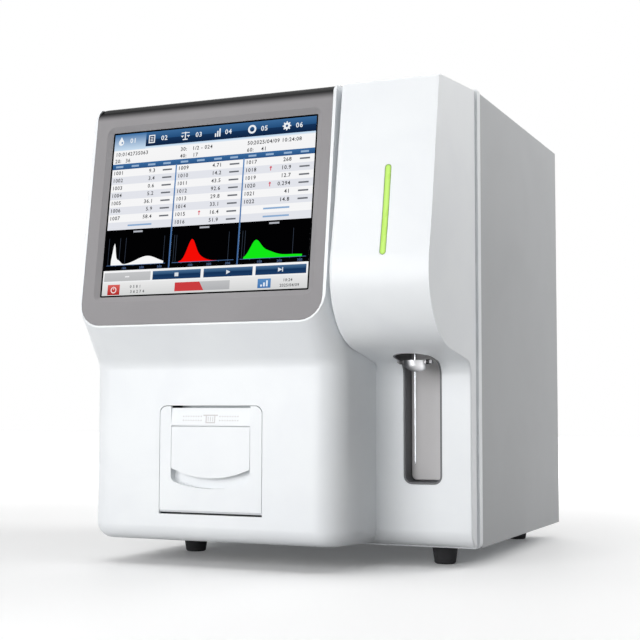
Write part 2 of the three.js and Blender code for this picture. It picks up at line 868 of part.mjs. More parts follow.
// Status light: a lens and its board that follow the column's face.
const lightX = columnLeft + lightCentreX;
const lightTopZ = headTopZ - lightTopDrop;
const lightFootZ = lightTopZ - lightLength;
const lightOutline = (inset) => outline(rectangle(
  ...span(lightX, lightWidth), lightFootZ, lightTopZ, lightWidth / 2 - leastRadius), inset);
const behindFace = (near, far) => cut(
  columnOuter.translate([0, near, 0]), columnOuter.translate([0, far, 0]));
piece("status_light_lens", common(
  alongY(lightOutline(gap), -noseReach, 0), behindFace(0, lightDepth)), "light");
const lightBoardNear = lightDepth + gap;
piece("status_led_board", common(
  block(...span(lightX, lightBoardWidth), -noseReach, -grooveDepth,
    lightFootZ - lightBoardMargin, lightTopZ + lightBoardMargin),
  behindFace(lightBoardNear, lightBoardNear + lightBoardThickness)), "board");

// Probe bay: a recess in the lower face that opens upwards into a round throat under the nose.
const bayLeft = bayX - bayHalfWidth;
const bayRight = bayX + bayHalfWidth;
const bayTopZ = overhangZ + linerTopRise;
const bayFrontY = -lowerFaceReach;
const keyFrontY = bayFrontY + bayDepth;
const linerBackY = keyFrontY + keyThickness + keyTravel + keyRoom;
const recess = (inset, y0, y1, top) => alongY(outline(
  rectangle(bayLeft, bayRight, bayFloorZ, top + overrun, [bayCornerRadius, bayCornerRadius, 0, 0]),
  inset), y0, y1);
const throatRadii = [bayHalfWidth - leastRadius, bayHalfWidth - leastRadius, 0, 0];
const throat = (inset, z0, z1) => alongZ(outline(rectangle(
  bayLeft, bayRight, -throatCentreReach - bayHalfWidth, overrun + linerBackY, throatRadii),
inset), z0, z1);
const throatFootZ = overhangZ - overhangRadius;
const bayCut = join(
  common(recess(0, bayFrontY - overrun, overrun, overhangZ), block(
    bayLeft - overrun, bayRight + overrun, bayFrontY - overrun, overrun, 0, bayTopZ)),
  throat(0, throatFootZ, bayTopZ + gap));
const linerBlank = common(
  join(recess(gap, bayFrontY, linerBackY + linerWall, bayTopZ), throat(gap, throatFootZ, bayTopZ)),
  block(bayLeft, bayRight, -noseReach, linerBackY + linerWall, 0, bayTopZ),
  join(columnOuter, block(bayLeft, bayRight, 0, linerBackY + linerWall, 0, topZ)));
const linerVoid = join(
  recess(gap + linerWall, bayFrontY - overrun, linerBackY, bayTopZ),
  throat(gap + linerWall, throatFootZ - overhangRadius, bayTopZ));
const linerRoof = block(bayLeft - overrun, bayRight + overrun, -noseReach, linerBackY + overrun,
  bayTopZ - linerWall, bayTopZ + linerTopRise);
const keyStemZ = bayFloorZ + keyFloorGap + keyStemHeight;
piece("probe_bay_liner", cut(linerBlank, cut(common(linerVoid,
  block(bayLeft, bayRight, -noseReach, linerBackY, 0, topZ)), linerRoof),
rod(needleHoleRadius, linerTopRise + linerWall, "z", [bayX, -probeReach, overhangZ]),
rod(keyStemRadius + gap, 2 * overrun, "y", [bayX, linerBackY - overrun, keyStemZ])), "dark");

// Probe: a fine needle in a sheath and hub, with its wipe block below the throat.
const tipZ = baseZ + probeTipHeight;
const sheathZ = tipZ + needleLength;
const hubZ = sheathZ + sheathLength;
piece("sample_probe", turned([
  [0, tipZ], [needleRadius, tipZ + needlePoint], [needleRadius, sheathZ],
  [sheathRadius, sheathZ + sheathRadius], [sheathRadius, hubZ],
  [hubRadius, hubZ], [hubRadius, hubZ + hubLength],
  [hubCollarRadius, hubZ + hubLength], [hubCollarRadius, hubZ + hubLength + hubCollar],
  [0, hubZ + hubLength + hubCollar],
], "z", [bayX, -probeReach, 0]), "steel");
const wipeBaseZ = overhangZ - wipeBaseDrop;
const wipeCapZ = overhangZ + wipeCapRise;
const yokeReach = bayHalfWidth - linerWall - 2 * gap;
const wipeSlant = alongY([
  new THREE.Vector2(bayX - bayHalfWidth, 0),
  new THREE.Vector2(bayX + bayHalfWidth, 0),
  new THREE.Vector2(bayX + bayHalfWidth, wipeBaseZ),
  new THREE.Vector2(bayX, wipeBaseZ),
  new THREE.Vector2(bayX - bayHalfWidth, wipeBaseZ + bayHalfWidth * wipeSlope),
], -throatCentreReach - bayHalfWidth, 0);
const wipeProfile = outline(rectangle(0, wipeRadius, wipeBaseZ, wipeCapZ, [0, wipeRound, 0, 0]))
  .map(({ x, y }) => [x, y]);
piece("probe_wipe_block", cut(
  join(
    turned(wipeProfile, "z", [bayX, -probeReach, 0]),
    block(...span(bayX, 2 * yokeReach), ...span(-probeReach, wipeYokeWidth),
      wipeCapZ - wipeYokeHeight, wipeCapZ)),
  wipeSlant,
  rod(sheathRadius + wipeBore, wipeCapZ, "z", [bayX, -probeReach, 0])), "steel");

// Aspirate key: the plate at the back of the recess, pushed to start a count.
const keyHalf = bayHalfWidth - gap - linerWall - keySideGap;
const keyFootZ = bayFloorZ + keyFloorGap;
const keyTopZ = bayTopZ - linerWall - keyTopGap;
piece("aspirate_key", join(
  cushion(
    rectangle(...span(bayX, 2 * keyHalf), keyFootZ, keyTopZ, keyCornerRadius),
    keyThickness, 0, keyThickness / 3,
    new THREE.Matrix4().makeBasis(xAxis, zAxis, yAxis.clone().negate())
      .setPosition(0, keyFrontY + keyThickness, 0)),
  rod(keyStemRadius, keyStemLength, "y", [bayX, keyFrontY + keyThickness / 2, keyStemZ])), "key");

// Printer bucket, door, lever flap, rollers and head.
const faceY = -bodyReach;
const doorMiddle = (mouldLeft + columnLeft) / 2 + doorShift;
const [doorLeft, doorRight] = span(doorMiddle, doorWidth);
const doorFootZ = baseZ + doorRise;
const doorTopZ = doorFootZ + doorHeight;
const hingeY = faceY + hingeSet;
const hingeZ = doorFootZ + hingeRise;
const mouthZ = doorFootZ - doorFootGap;
const mouthTopZ = doorTopZ + doorSideGap;
const doorRadii = [leastRadius, leastRadius, doorCornerRadius, doorCornerRadius];
const doorOpening = alongY(outline(rectangle(
  doorLeft - doorSideGap, doorRight + doorSideGap, mouthZ, mouthTopZ, doorRadii)),
faceY - overrun, faceY + mouldWall + overrun);
const rollY = faceY + rollSet;
const cradleZ = mouthZ + cradleRise;
const bucketFaceY = faceY + mouldWall + gap;
const bucketTopZ = doorTopZ + bucketHeadroom;
const bucketProfile = (inset) => outline(rectangle(
  bucketFaceY, rollY + cradleRadius, mouthZ, bucketTopZ, [0, 0, doorCornerRadius, 0]), inset);
const bucketShape = (grown, x0, x1) => join(
  alongX(bucketProfile(-grown), x0, x1),
  rod(cradleRadius + grown, x1 - x0, "x", [x0, rollY, cradleZ]));
const bucketLeft = doorLeft - doorSideGap;
const bucketRight = doorRight + doorSideGap;
const bucketMouth = block(
  bucketLeft, bucketRight, faceY, bucketFaceY + 2 * bucketWall, mouthZ, bucketTopZ);
const bucketRim = block(
  bucketLeft - bucketFlange, bucketRight + bucketFlange, bucketFaceY, bucketFaceY + bucketWall,
  mouthZ - bucketFlange, bucketTopZ + bucketWall);
const pinNotch = join(
  rod(hingePinRadius + gap, bucketRight - bucketLeft + 4 * bucketFlange, "x",
    [bucketLeft - 2 * bucketFlange, hingeY, hingeZ]),
  block(bucketLeft - 2 * bucketFlange, bucketRight + 2 * bucketFlange, faceY, hingeY,
    hingeZ - hingePinRadius - gap, hingeZ + hingePinRadius + gap));
piece("printer_bucket", cut(
  join(
    common(bucketShape(bucketWall, bucketLeft - bucketWall, bucketRight + bucketWall), block(
      bucketLeft - bucketWall, bucketRight + bucketWall, bucketFaceY, 0, 0, bucketTopZ + bucketWall)),
    bucketRim),
  bucketShape(0, bucketLeft, bucketRight),
  bucketMouth,
  pinNotch), "dark");

const [flapX0, flapX1] = span(doorMiddle, flapWidth);
const flapTopZ = doorTopZ - stripHeight;
const flapSideZ = flapTopZ - flapSideHeight;
const scoopSideZ = flapSideZ - scoopSideDrop;

// The corners of a panel whose lower edge sags in an arc between its two rounded lower corners.
function sagging(x0, x1, sideZ, sag, top, radius) {
  const half = (x1 - x0) / 2;
  const bend = (half * half + sag * sag) / (2 * sag);
  const reach = Math.asin(half / bend);
  const arc = Array.from({ length: sagSteps + 1 }, (_, k) => {
    const angle = reach * ((2 * k) / sagSteps - 1);
    const round = k % sagSteps === 0 ? radius : 0;
    return [(x0 + x1) / 2 + bend * Math.sin(angle), sideZ - sag + bend * (1 - Math.cos(angle)), round];
  });
  return [...arc, [x1, top], [x0, top]];
}

const scoopOutline = (grown) => outline(sagging(
  flapX0 - flapGap, flapX1 + flapGap, scoopSideZ, scoopSag, flapTopZ + flapGap, scoopCornerRadius), -grown);
const pocketStepZ = flapSideZ + scoopDepth;
const pocketShallow = faceY + 2 * flapBarrelRadius + flapGap;
const pocketFootZ = scoopSideZ - scoopSag;
const pocketProfile = (grown) => outline([
  [faceY - overrun, pocketFootZ - overrun],
  [faceY + scoopDepth, pocketFootZ - overrun],
  [faceY + scoopDepth, pocketStepZ, scoopStepRadius],
  [pocketShallow, pocketStepZ + scoopDepth, scoopStepRadius],
  [pocketShallow, flapTopZ + overrun],
  [faceY - overrun, flapTopZ + overrun],
], -grown);
const pocket = (grown) => common(
  alongY(scoopOutline(grown), faceY - overrun, faceY + scoopDepth + grown),
  alongX(pocketProfile(grown), doorLeft, doorRight));
const behindDoorFace = block(doorLeft, doorRight, faceY, 0, doorFootZ, doorTopZ);
const doorPlateShape = cut(
  alongY(outline(rectangle(doorLeft, doorRight, doorFootZ, doorTopZ, doorRadii)), faceY, faceY + doorPlate),
  alongX([
    new THREE.Vector2(faceY - overrun, doorFootZ - overrun),
    new THREE.Vector2(faceY + doorFootChamfer + overrun, doorFootZ - overrun),
    new THREE.Vector2(faceY + doorFootChamfer, doorFootZ),
    new THREE.Vector2(faceY, doorFootZ + doorFootChamfer),
    new THREE.Vector2(faceY - overrun, doorFootZ + doorFootChamfer + overrun),
  ], doorLeft - overrun, doorRight + overrun),
  block(...span(doorMiddle, slotWidth), faceY - overrun, faceY + doorPlate + overrun,
    doorTopZ - slotDrop, doorTopZ + overrun));
const stripPocket = alongX([
  new THREE.Vector2(faceY - overrun, flapTopZ + flapGap),
  new THREE.Vector2(faceY, flapTopZ + flapGap),
  new THREE.Vector2(faceY + stripSink, doorTopZ + overrun),
  new THREE.Vector2(faceY - overrun, doorTopZ + overrun),
], ...span(doorMiddle, slotWidth));
const stripBack = block(
  ...span(doorMiddle, slotWidth), faceY + doorPlate / 2, faceY + doorPlate + stripBacking / 2,
  flapTopZ + flapGap, doorTopZ - slotDrop);
const skirt = cut(
  block(doorLeft + skirtWall, doorRight - skirtWall, faceY + doorPlate / 2, faceY + doorPlate + skirtDepth,
    hingeZ, doorTopZ - doorCornerRadius),
  block(doorLeft + 2 * skirtWall, doorRight - 2 * skirtWall, faceY + doorPlate, 0, 0, doorTopZ));
const knuckle = common(
  rod(knuckleRadius, knuckleLength, "x", [doorMiddle - knuckleLength / 2, hingeY, hingeZ]),
  block(doorLeft, doorRight, faceY + doorPlate / 2, 0, 0, doorTopZ));
const pinEnd = doorWidth / 2 + hingePinLength / 2;
const hingePins = rod(hingePinRadius, 2 * pinEnd, "x", [doorMiddle - pinEnd, hingeY, hingeZ]);
const platenY = faceY + platenSet;
const platenZ = doorTopZ - platenDrop;
const earInner = platenLength / 2 + 2 * gap;
const ears = [-1, 1].map((side) => {
  const x = doorMiddle + side * earInner;
  const start = side > 0 ? x : x - earThickness;
  return join(
    block(start, start + earThickness, faceY + doorPlate / 2, platenY, ...span(platenZ, 2 * earRadius)),
    rod(earRadius, earThickness, "x", [start, platenY, platenZ]));
});
const flapY = faceY + flapBarrelRadius;
const flapZ = flapTopZ - flapBarrelRadius;
const flapPinHole = rod(
  flapPinRadius + gap, flapWidth + 2 * (flapGap + flapPinLength), "x",
  [flapX0 - flapGap - flapPinLength, flapY, flapZ]);
piece("printer_door", cut(
  join(
    cut(join(doorPlateShape, stripBack, common(pocket(pocketWall), behindDoorFace)), stripPocket),
    skirt, knuckle, hingePins, ...ears),
  pocket(0), flapPinHole,
  rod(platenShaftRadius + gap, doorWidth, "x", [doorLeft, platenY, platenZ])), "white");
const flapPinReach = flapWidth + 2 * (flapPinLength - gap);
piece("door_lever", join(
  common(
    alongY(outline(sagging(flapX0, flapX1, flapSideZ, flapArcSag, flapZ, flapCornerRadius)),
      faceY, faceY + flapThickness),
    block(flapX0, flapX1, faceY, faceY + flapThickness, 0, flapTopZ)),
  rod(flapBarrelRadius, flapWidth, "x", [flapX0, flapY, flapZ]),
  rod(flapPinRadius, flapPinReach, "x", [doorMiddle - flapPinReach / 2, flapY, flapZ])), "white");
const shaftHalf = platenLength / 2 + platenShaftLength;
piece("platen_roller", join(
  rod(platenRadius, platenLength, "x", [doorMiddle - platenLength / 2, platenY, platenZ]),
  rod(platenShaftRadius, 2 * shaftHalf, "x", [doorMiddle - shaftHalf, platenY, platenZ])), "rubber");

// The roll lies on the cradle's flats, so that its edges clear them as it turns.
const cradleFlat = cradleRadius * Math.cos(Math.PI / sidesFor(cradleRadius));
const rollZ = cradleZ - (cradleFlat - paperRadius) + gap;
piece("paper_roll", cut(
  rod(paperRadius, paperWidth, "x", [doorMiddle - paperWidth / 2, rollY, rollZ]),
  rod(paperCoreRadius, 2 * paperWidth, "x", [doorMiddle - paperWidth, rollY, rollZ])), "paper");
const printHeadY = platenY + platenRadius + gap;
const finPitch = paperWidth / (printHeadSlotCount + 1);
const printHeadSlots = Array.from({ length: printHeadSlotCount }, (_, k) => block(
  ...span(doorMiddle - paperWidth / 2 + finPitch * (k + 1), printHeadFin),
  printHeadY + printHeadDepth - printHeadFin, printHeadY + printHeadDepth + overrun, 0, bucketTopZ));
piece("print_head", cut(
  block(...span(doorMiddle, paperWidth), printHeadY, printHeadY + printHeadDepth,
    platenZ - printHeadHeight / 2, bucketTopZ - gap),
  ...printHeadSlots), "zinc");

const housing = cut(
  mouldOuter, mouldInner, bezelOpening, bayCut, doorOpening,
  alongY(lightOutline(0), -noseReach - overrun, 0));
piece("front_housing", housing, "white");

// Sheet-metal cabinet behind the moulding.
const panelIn = cabinetSide - sheet;
const innerSide = panelIn - gap;
const trayTop = baseZ + heavySheet;
const rearIn = rearY - sheet;
const rimSide = cabinetSide + rimProud;
const rimTopZ = topZ + rimProud;
const rimOpening = alongY(outline(rectangle(
  -rimSide, rimSide, baseZ, rimTopZ, 2 * rimRadius), rimWidth), 0, rimRearY + overrun);
piece("front_rim", cut(
  join(
    alongY(outline(rectangle(-rimSide, rimSide, baseZ, rimTopZ, [rimRadius, rimRadius, sheet, sheet])),
      rimFrontY, rimRearY),
    alongY(outline(rectangle(mouldLeft, mouldRight, mouldBottomZ, topZ, rimRadius), neckInset),
      gap, rimRearY)),
  rimOpening), "white");

const panelY = rimRearY + gap;
const footSpots = [
  ["left", footInsetLeft - cabinetSide],
  ["right", cabinetSide - footInsetRight],
].flatMap(([name, x]) => [
  [`foot_front_${name}`, x, footFrontY],
  [`foot_rear_${name}`, x, rearY - footRearInset],
]);
const trayRear = rearIn - gap;
piece("chassis_tray", cut(
  join(
    block(-innerSide, innerSide, panelY, trayRear, baseZ, trayTop),
    ...[-1, 1].map((side) => block(
      ...sideSpan(side, innerSide, innerSide - heavySheet), panelY, trayRear, baseZ, baseZ + trayFlange))),
  ...footSpots.map(([, x, y]) => rod(footBoreRadius, 2 * overrun, "z", [x, y, baseZ - overrun]))),
"zinc");
const coverZ = topZ - sheet;
for (const [name, side] of [["left_side_panel", -1], ["right_side_panel", 1]]) {
  piece(name, join(
    block(...sideSpan(side, panelIn, cabinetSide), panelY, rearY, baseZ, topZ),
    block(...sideSpan(side, panelIn - flange, cabinetSide), panelY, trayRear,
      coverZ - gap - sheet, coverZ - gap)), "grey");
}
piece("top_cover", join(
  block(-innerSide, innerSide, panelY, rearY, coverZ, topZ),
  ...[-1, 1].map((side) => block(
    ...sideSpan(side, innerSide - flange - gap, innerSide - flange - gap - sheet),
    panelY, trayRear, coverZ - flange, topZ))), "grey");

for (const [name, x, y] of footSpots) {
  piece(name, turned([
    [0, 0], [footBottomRadius - footChamfer, 0], [footBottomRadius, footChamfer],
    [footTopRadius, baseZ - gap], [footBoreRadius, baseZ - gap],
    [footBoreRadius, baseZ - footBoreDepth], [0, baseZ - footBoreDepth],
  ], "z", [x, y, 0]), "rubber");
}

const bulkheadFrontY = panelY + overrun;
const bulkheadRearY = rearIn - bulkheadRearRoom;
const bulkheadTopZ = coverZ - flange - gap;
const bulkheadFace = bulkheadX + heavySheet;
const windowFootZ = trayTop + trayFlange;
piece("inner_bulkhead", cut(
  join(
    block(bulkheadX, bulkheadFace, bulkheadFrontY, bulkheadRearY, trayTop + gap, bulkheadTopZ),
    block(bulkheadX - flange, bulkheadFace, bulkheadFrontY, bulkheadRearY,
      trayTop + gap, trayTop + gap + heavySheet)),
  ...[bulkheadFrontY + flange, bulkheadRearY - flange - bulkheadWindow].map((y) => alongX(
    outline(rectangle(y, y + bulkheadWindow, windowFootZ, windowFootZ + bulkheadWindow, flange)),
    bulkheadX - overrun, bulkheadFace + overrun))), "zinc");

// Probe drive: a tower with two guide rods, a screw, its motor and the carriage that lifts the probe.
const armZ = hubZ + (hubLength - armHeight) / 2;
const carriageZ = armZ - (carriageHeight - armHeight) / 2;
const lowerPlateZ = carriageZ - (3 * flange) / 2;
const upperPlateZ = carriageZ + carriageHeight + probeTravel + flange;
const rodLeft = bayX - rodSpacing / 2;
const rodRight = bayX + rodSpacing / 2;
const towerSpan = span(bayX, rodSpacing + 2 * towerSideMargin);
const guides = [rodLeft, rodRight];
const guideHoles = guides.map((x) => rod(rodRadius + gap, topZ, "z", [x, driveY, 0], smallSides));
const screwHole = rod(screwRadius + 2 * gap, topZ, "z", [bayX, driveY, 0], smallSides);
piece("probe_tower", cut(
  join(
    block(...towerSpan, towerPlateY, towerPlateY + bracketSheet, trayTop + gap, upperPlateZ + motorLength),
    block(...towerSpan, towerPlateY, towerPlateY + towerFlange, trayTop + gap, trayTop + gap + bracketSheet),
    ...[lowerPlateZ, upperPlateZ].map((z) => block(
      ...towerSpan, towerPlateY - towerFlange, towerPlateY + bracketSheet, z, z + bracketSheet))),
  ...guideHoles, screwHole,
  rod(motorPilotRadius + 2 * gap, motorLength, "z", [bayX, driveY, upperPlateZ])), "zinc");
const rodFoot = lowerPlateZ - bracketSheet;
const rodLength = upperPlateZ + bracketSheet - rodFoot;
const guideRod = (x) => rod(rodRadius, rodLength, "z", [x, driveY, rodFoot], smallSides);
piece("probe_guide_rod_left", guideRod(rodLeft), "steel");
piece("probe_guide_rod_right", guideRod(rodRight), "steel");
const motorZ = upperPlateZ + bracketSheet + gap;
piece("probe_motor", cut(
  join(
    alongZ(
      outline(rectangle(...span(bayX, motorSize), ...span(driveY - gap / 2, motorSize - gap), motorCorner)),
      motorZ, motorZ + motorLength),
    rod(motorPilotRadius, motorPilot, "z", [bayX, driveY, motorZ - motorPilot])),
  rod(screwRadius + 2 * gap, motorPilot + motorCorner, "z", [bayX, driveY, motorZ - motorPilot])), "dark");
const threadDepth = screwRadius / 8;
const screwTop = motorZ + motorCorner / 2;
const screwNotches = Array.from({ length: Math.floor((upperPlateZ - lowerPlateZ) / screwLead) }, (_, k) => [
  [screwRadius, lowerPlateZ + screwLead * k + flange],
  [screwRadius - threadDepth, lowerPlateZ + screwLead * k + flange + threadDepth],
  [screwRadius - threadDepth, lowerPlateZ + screwLead * (k + 1 / 2) + flange],
  [screwRadius, lowerPlateZ + screwLead * (k + 1 / 2) + flange + threadDepth],
]).flat();
piece("probe_drive_screw", turned(
  [[0, rodFoot], [screwRadius, rodFoot], ...screwNotches, [screwRadius, screwTop], [0, screwTop]],
  "z", [bayX, driveY, 0], smallSides), "steel");
const armFront = -probeReach - armNose;
piece("probe_carriage", cut(
  join(
    block(...span(bayX, carriageWidth), ...span(driveY, carriageDepth),
      carriageZ, carriageZ + carriageHeight),
    block(...span(bayX, armWidth), armFront, driveY, armZ, armZ + armHeight)),
  ...guideHoles, screwHole,
  rod(hubRadius + 2 * gap, topZ, "z", [bayX, -probeReach, 0])), "dark");

// Syringe on its bracket, driven from below.
const syringeX = bulkheadFace + gap + syringeSet;
const syringeTop = baseZ + syringeTopHeight;
const barrelFoot = syringeTop - syringeLength;
const bracketX = bulkheadFace + gap;
const syringeShelfX = syringeX + syringeRadius + flange / 2;
const pistonTop = syringeTop - syringeWall - pistonLength;
const rodBase = pistonTop - plungerRodLength;
const syringeMotorTop = rodBase + flange;
piece("syringe_bracket", cut(
  join(
    block(bracketX, bracketX + bracketSheet, ...span(syringeY, syringePlateWidth),
      syringeMotorTop - bracketSheet, syringeTop),
    ...[barrelFoot - bracketSheet - gap, syringeMotorTop].map((z) => block(
      bracketX, syringeShelfX, ...span(syringeY, syringeShelf), z, z + bracketSheet))),
  rod(plungerRodRadius + 2 * gap, topZ, "z", [syringeX, syringeY, 0])), "zinc");
piece("syringe_barrel", turned([
  [syringeRadius - syringeWall, barrelFoot], [syringeRadius, barrelFoot], [syringeRadius, syringeTop],
  [syringeNozzleRadius, syringeTop], [syringeNozzleRadius, syringeTop + syringeNozzle],
  [syringeNozzleRadius / 2, syringeTop + syringeNozzle], [syringeNozzleRadius / 2, syringeTop - syringeWall],
  [syringeRadius - syringeWall, syringeTop - syringeWall], [syringeRadius - syringeWall, barrelFoot],
], "z", [syringeX, syringeY, 0]), "clear");
const pistonRadius = syringeRadius - syringeWall - 2 * gap;
piece("syringe_plunger", turned([
  [0, rodBase], [plungerRodRadius, rodBase], [plungerRodRadius, pistonTop - pistonLength],
  [pistonRadius, pistonTop - pistonLength], [pistonRadius, pistonTop], [0, pistonTop],
], "z", [syringeX, syringeY, 0]), "dark");
const syringeMotorZ = syringeMotorTop - gap - 2 * motorLength;
piece("syringe_motor", cut(
  alongZ(outline(rectangle(...span(syringeX, motorSize), ...span(syringeY, motorSize), motorCorner)),
    syringeMotorZ, syringeMotorTop - gap),
  rod(plungerRodRadius + 2 * gap, 2 * motorLength + overrun, "z",
    [syringeX, syringeY, syringeMotorZ + motorCorner])), "dark");

// Two counting baths in their holders.
["wbc_bath", "rbc_bath"].forEach((name, k) => {
  const y = bathFirstY + bathPitch * k;
  const x = bracketX + bathMargin + bathRadius;
  const z = baseZ + bathBracketHeight;
  const inner = bathRadius - bathWall;
  piece(name, join(
    turned([
      [bathSpoutRadius / 2, z - bathCone - bathSpout], [bathSpoutRadius, z - bathCone - bathSpout],
      [bathSpoutRadius, z - bathCone], [bathRadius, z], [bathRadius, z + bathHeight - bathRim],
      [bathRadius + bathRim, z + bathHeight - bathRim], [bathRadius + bathRim, z + bathHeight],
      [inner, z + bathHeight], [inner, z], [bathSpoutRadius / 2, z - bathCone + bathWall],
      [bathSpoutRadius / 2, z - bathCone - bathSpout],
    ], "z", [x, y, 0]),
    block(bracketX, x - bathRadius + bathWall / 2, ...span(y, 2 * bathRadius),
      z + bathRim, z + bathHeight - bathRim)), "clear");
});

// Valve manifold with its row of valves.
const manifoldZ = baseZ + manifoldRise;
piece("valve_manifold", join(
  block(bracketX, bracketX + manifoldDepth, manifoldY, manifoldY + manifoldWidth,
    manifoldZ, manifoldZ + manifoldHeight),
  ...Array.from({ length: valveCount }, (_, k) => rod(
    valveRadius, valveLength + manifoldDepth / 2, "x",
    [bracketX + manifoldDepth / 2, manifoldY + (manifoldWidth * (k + 1 / 2)) / valveCount,
      manifoldZ + manifoldHeight / 2]))), "black");

// Pump and vacuum chamber on the tray.
const floorZ = trayTop + gap;
piece("diaphragm_pump", join(
  block(...span(pumpX, 2 * (pumpRadius + pumpFootMargin)), ...span(pumpY, pumpLength),
    floorZ, floorZ + pumpBase),
  rod(pumpRadius, pumpLength, "y", [pumpX, pumpY - pumpLength / 2, floorZ + pumpRadius + pumpBase / 2]),
  block(...span(pumpX, pumpHead), ...span(pumpY, pumpHead),
    floorZ + 2 * pumpRadius, floorZ + 2 * pumpRadius + pumpHeadHeight)), "black");
piece("vacuum_chamber", turned([
  [0, floorZ], [chamberRadius, floorZ], [chamberRadius, floorZ + chamberHeight],
  [chamberRadius + chamberCapProud, floorZ + chamberHeight],
  [chamberRadius + chamberCapProud, floorZ + chamberHeight + chamberCapHeight],
  [chamberNeckRadius, floorZ + chamberHeight + chamberCapHeight],
  [chamberNeckRadius, floorZ + chamberHeight + chamberCapHeight + chamberNeck],
  [0, floorZ + chamberHeight + chamberCapHeight + chamberNeck],
], "z", [chamberX, chamberY, 0]), "clear");

// Main board on stand-offs, left of the bulkhead.
const boardBack = bulkheadX - gap - boardStandoff;
const boardFront = boardBack - boardThickness;
const boardZ = baseZ + boardRise;
const chipShares = [[1 / 4, 2 / 3], [1 / 2, 1 / 2], [3 / 4, 2 / 3]];
const standoffRows = [boardZ + boardMargin, boardZ + boardHeight - boardMargin];
const standoffSpots = [boardY + boardMargin, boardY + boardLength - boardMargin].flatMap(
  (y) => standoffRows.map((z) => [boardBack - boardThickness / 2, y, z]));
piece("main_board", join(
  block(boardFront, boardBack, boardY, boardY + boardLength, boardZ, boardZ + boardHeight),
  ...standoffSpots.map((spot) => rod(boardStandoffRadius, boardStandoff + boardThickness / 2, "x", spot)),
  ...chipShares.map(([along, up]) => block(
    boardFront - chipHeight, boardBack,
    ...span(boardY + boardLength * along, chipSize), ...span(boardZ + boardHeight * up, chipSize))),
  block(boardFront - headerHeight, boardBack,
    boardY + 2 * boardMargin, boardY + boardLength - 2 * boardMargin,
    boardZ + headerWidth, boardZ + 2 * headerWidth)), "board");

// Power supply with a slotted lid.
const supplyRear = rearIn - supplyRearRoom;
const supplySlots = Array.from({ length: supplySlotCount }, (_, k) => block(
  ...span(supplyX, supplySlotLength),
  ...span(supplyRear - supplyLength / 2 + supplySlotPitch * (k - (supplySlotCount - 1) / 2), supplySlot),
  floorZ + supplyHeight - supplySlot, floorZ + supplyHeight + overrun));
piece("power_supply", cut(
  block(...span(supplyX, supplyWidth), supplyRear - supplyLength, supplyRear, floorZ, floorZ + supplyHeight),
  ...supplySlots), "zinc");

// Cooling fan behind its grille.
const fanZ = topZ - fanDrop;
const fanRear = rearIn - gap;
const fanFront = fanRear - fanDepth;
const fanHubFront = fanFront + fanSpokeDepth + 2 * gap;
const fanSpokes = Array.from({ length: fanSpokeCount }, (_, k) => block(
  0, fanBore + fanSpokeWidth / 2, fanFront, fanFront + fanSpokeDepth, ...span(0, fanSpokeWidth))
  .rotate([0, (180 * (2 * k + 1)) / fanSpokeCount, 0]).translate([fanX, 0, fanZ]));
piece("fan_frame", cut(
  join(
    cut(
      alongY(around(fanX, fanZ, fanSize, fanSize, fanCorner), fanFront, fanRear),
      rod(fanBore, fanDepth + 2 * overrun, "y", [fanX, fanFront - overrun, fanZ])),
    ...fanSpokes,
    rod(fanHubRadius, fanSpokeDepth, "y", [fanX, fanFront, fanZ])),
  rod(fanAxleRadius + gap, fanSpokeDepth + 2 * overrun, "y", [fanX, fanFront - overrun, fanZ])), "black");
const bladeTilt = new THREE.Matrix4().makeRotationX(fanBladeTwist);
const bladeMiddle = fanHubFront + (fanRear - fanHubFront) / 2;
const bladeBox = new THREE.BoxGeometry(fanBladeRadius - fanHubRadius / 2, fanBladeDepth, fanBladeThickness);
const blades = Array.from({ length: fanBladeCount }, (_, k) => {
  const turn = new THREE.Matrix4().makeRotationY((2 * Math.PI * k) / fanBladeCount);
  const out = new THREE.Matrix4().makeTranslation((fanBladeRadius + fanHubRadius / 2) / 2, 0, 0);
  const place = new THREE.Matrix4().makeTranslation(fanX, bladeMiddle, fanZ);
  return solidOf(bladeBox, place.multiply(turn).multiply(out).multiply(bladeTilt));
});
piece("fan_rotor", join(
  rod(fanHubRadius, fanRear - fanSpokeDepth / 2 - fanHubFront, "y", [fanX, fanHubFront, fanZ]),
  rod(fanAxleRadius, fanAxleLength, "y", [fanX, fanHubFront - fanSpokeDepth - gap, fanZ]),
  ...blades.map((blade) => common(blade, rod(fanBladeRadius, fanDepth, "y", [fanX, fanHubFront, fanZ])))),
"black");

// Rear panel with its sockets.
const inletZ = baseZ + inletRise;
const rockerX = inletX + rockerStep;
const entryLeft = inletX - inletWidth / 2 - inletMargin;
const entryRight = rockerX + rockerWidth / 2 + inletMargin;
const outerY = rearY + gap;
const rockerWellWidth = rockerWidth + 2 * rockerClear;
const rockerWellHeight = rockerHeight + 2 * rockerClear;
const rockerBoxWidth = rockerWellWidth + 2 * rockerWall;
const rockerBoxHeight = rockerWellHeight + 2 * rockerWall;
const inletBack = rearY - inletDepth;
const rockerY = rearY + rockerAxisSet;
const rockerPinHalf = rockerWidth / 2 + rockerPinLength;
const rockerProfile = [
  [-rockerInner, rockerHeight * rockerInnerShare],
  [rockerProud, rockerHeight / 2],
  [rockerProud - rockerDish, 0],
  [rockerProud, -rockerHeight / 2],
  [-rockerInner, -rockerHeight * rockerInnerShare],
].map(([y, z]) => new THREE.Vector2(y, z));
piece("power_switch", join(
  alongX(rockerProfile, ...span(0, rockerWidth)),
  rod(rockerPinRadius, 2 * rockerPinHalf, "x", [-rockerPinHalf, 0, 0]))
  .rotate([-rockerAngle, 0, 0]).translate([rockerX, rockerY, inletZ]), "black");
const inletFloorY = rearY - inletCavityDepth;
const inletPin = (x, z) => block(
  ...span(x, inletPinWidth), inletFloorY - leastRadius, inletFloorY + inletPinLength,
  ...span(z, inletPinHeight));
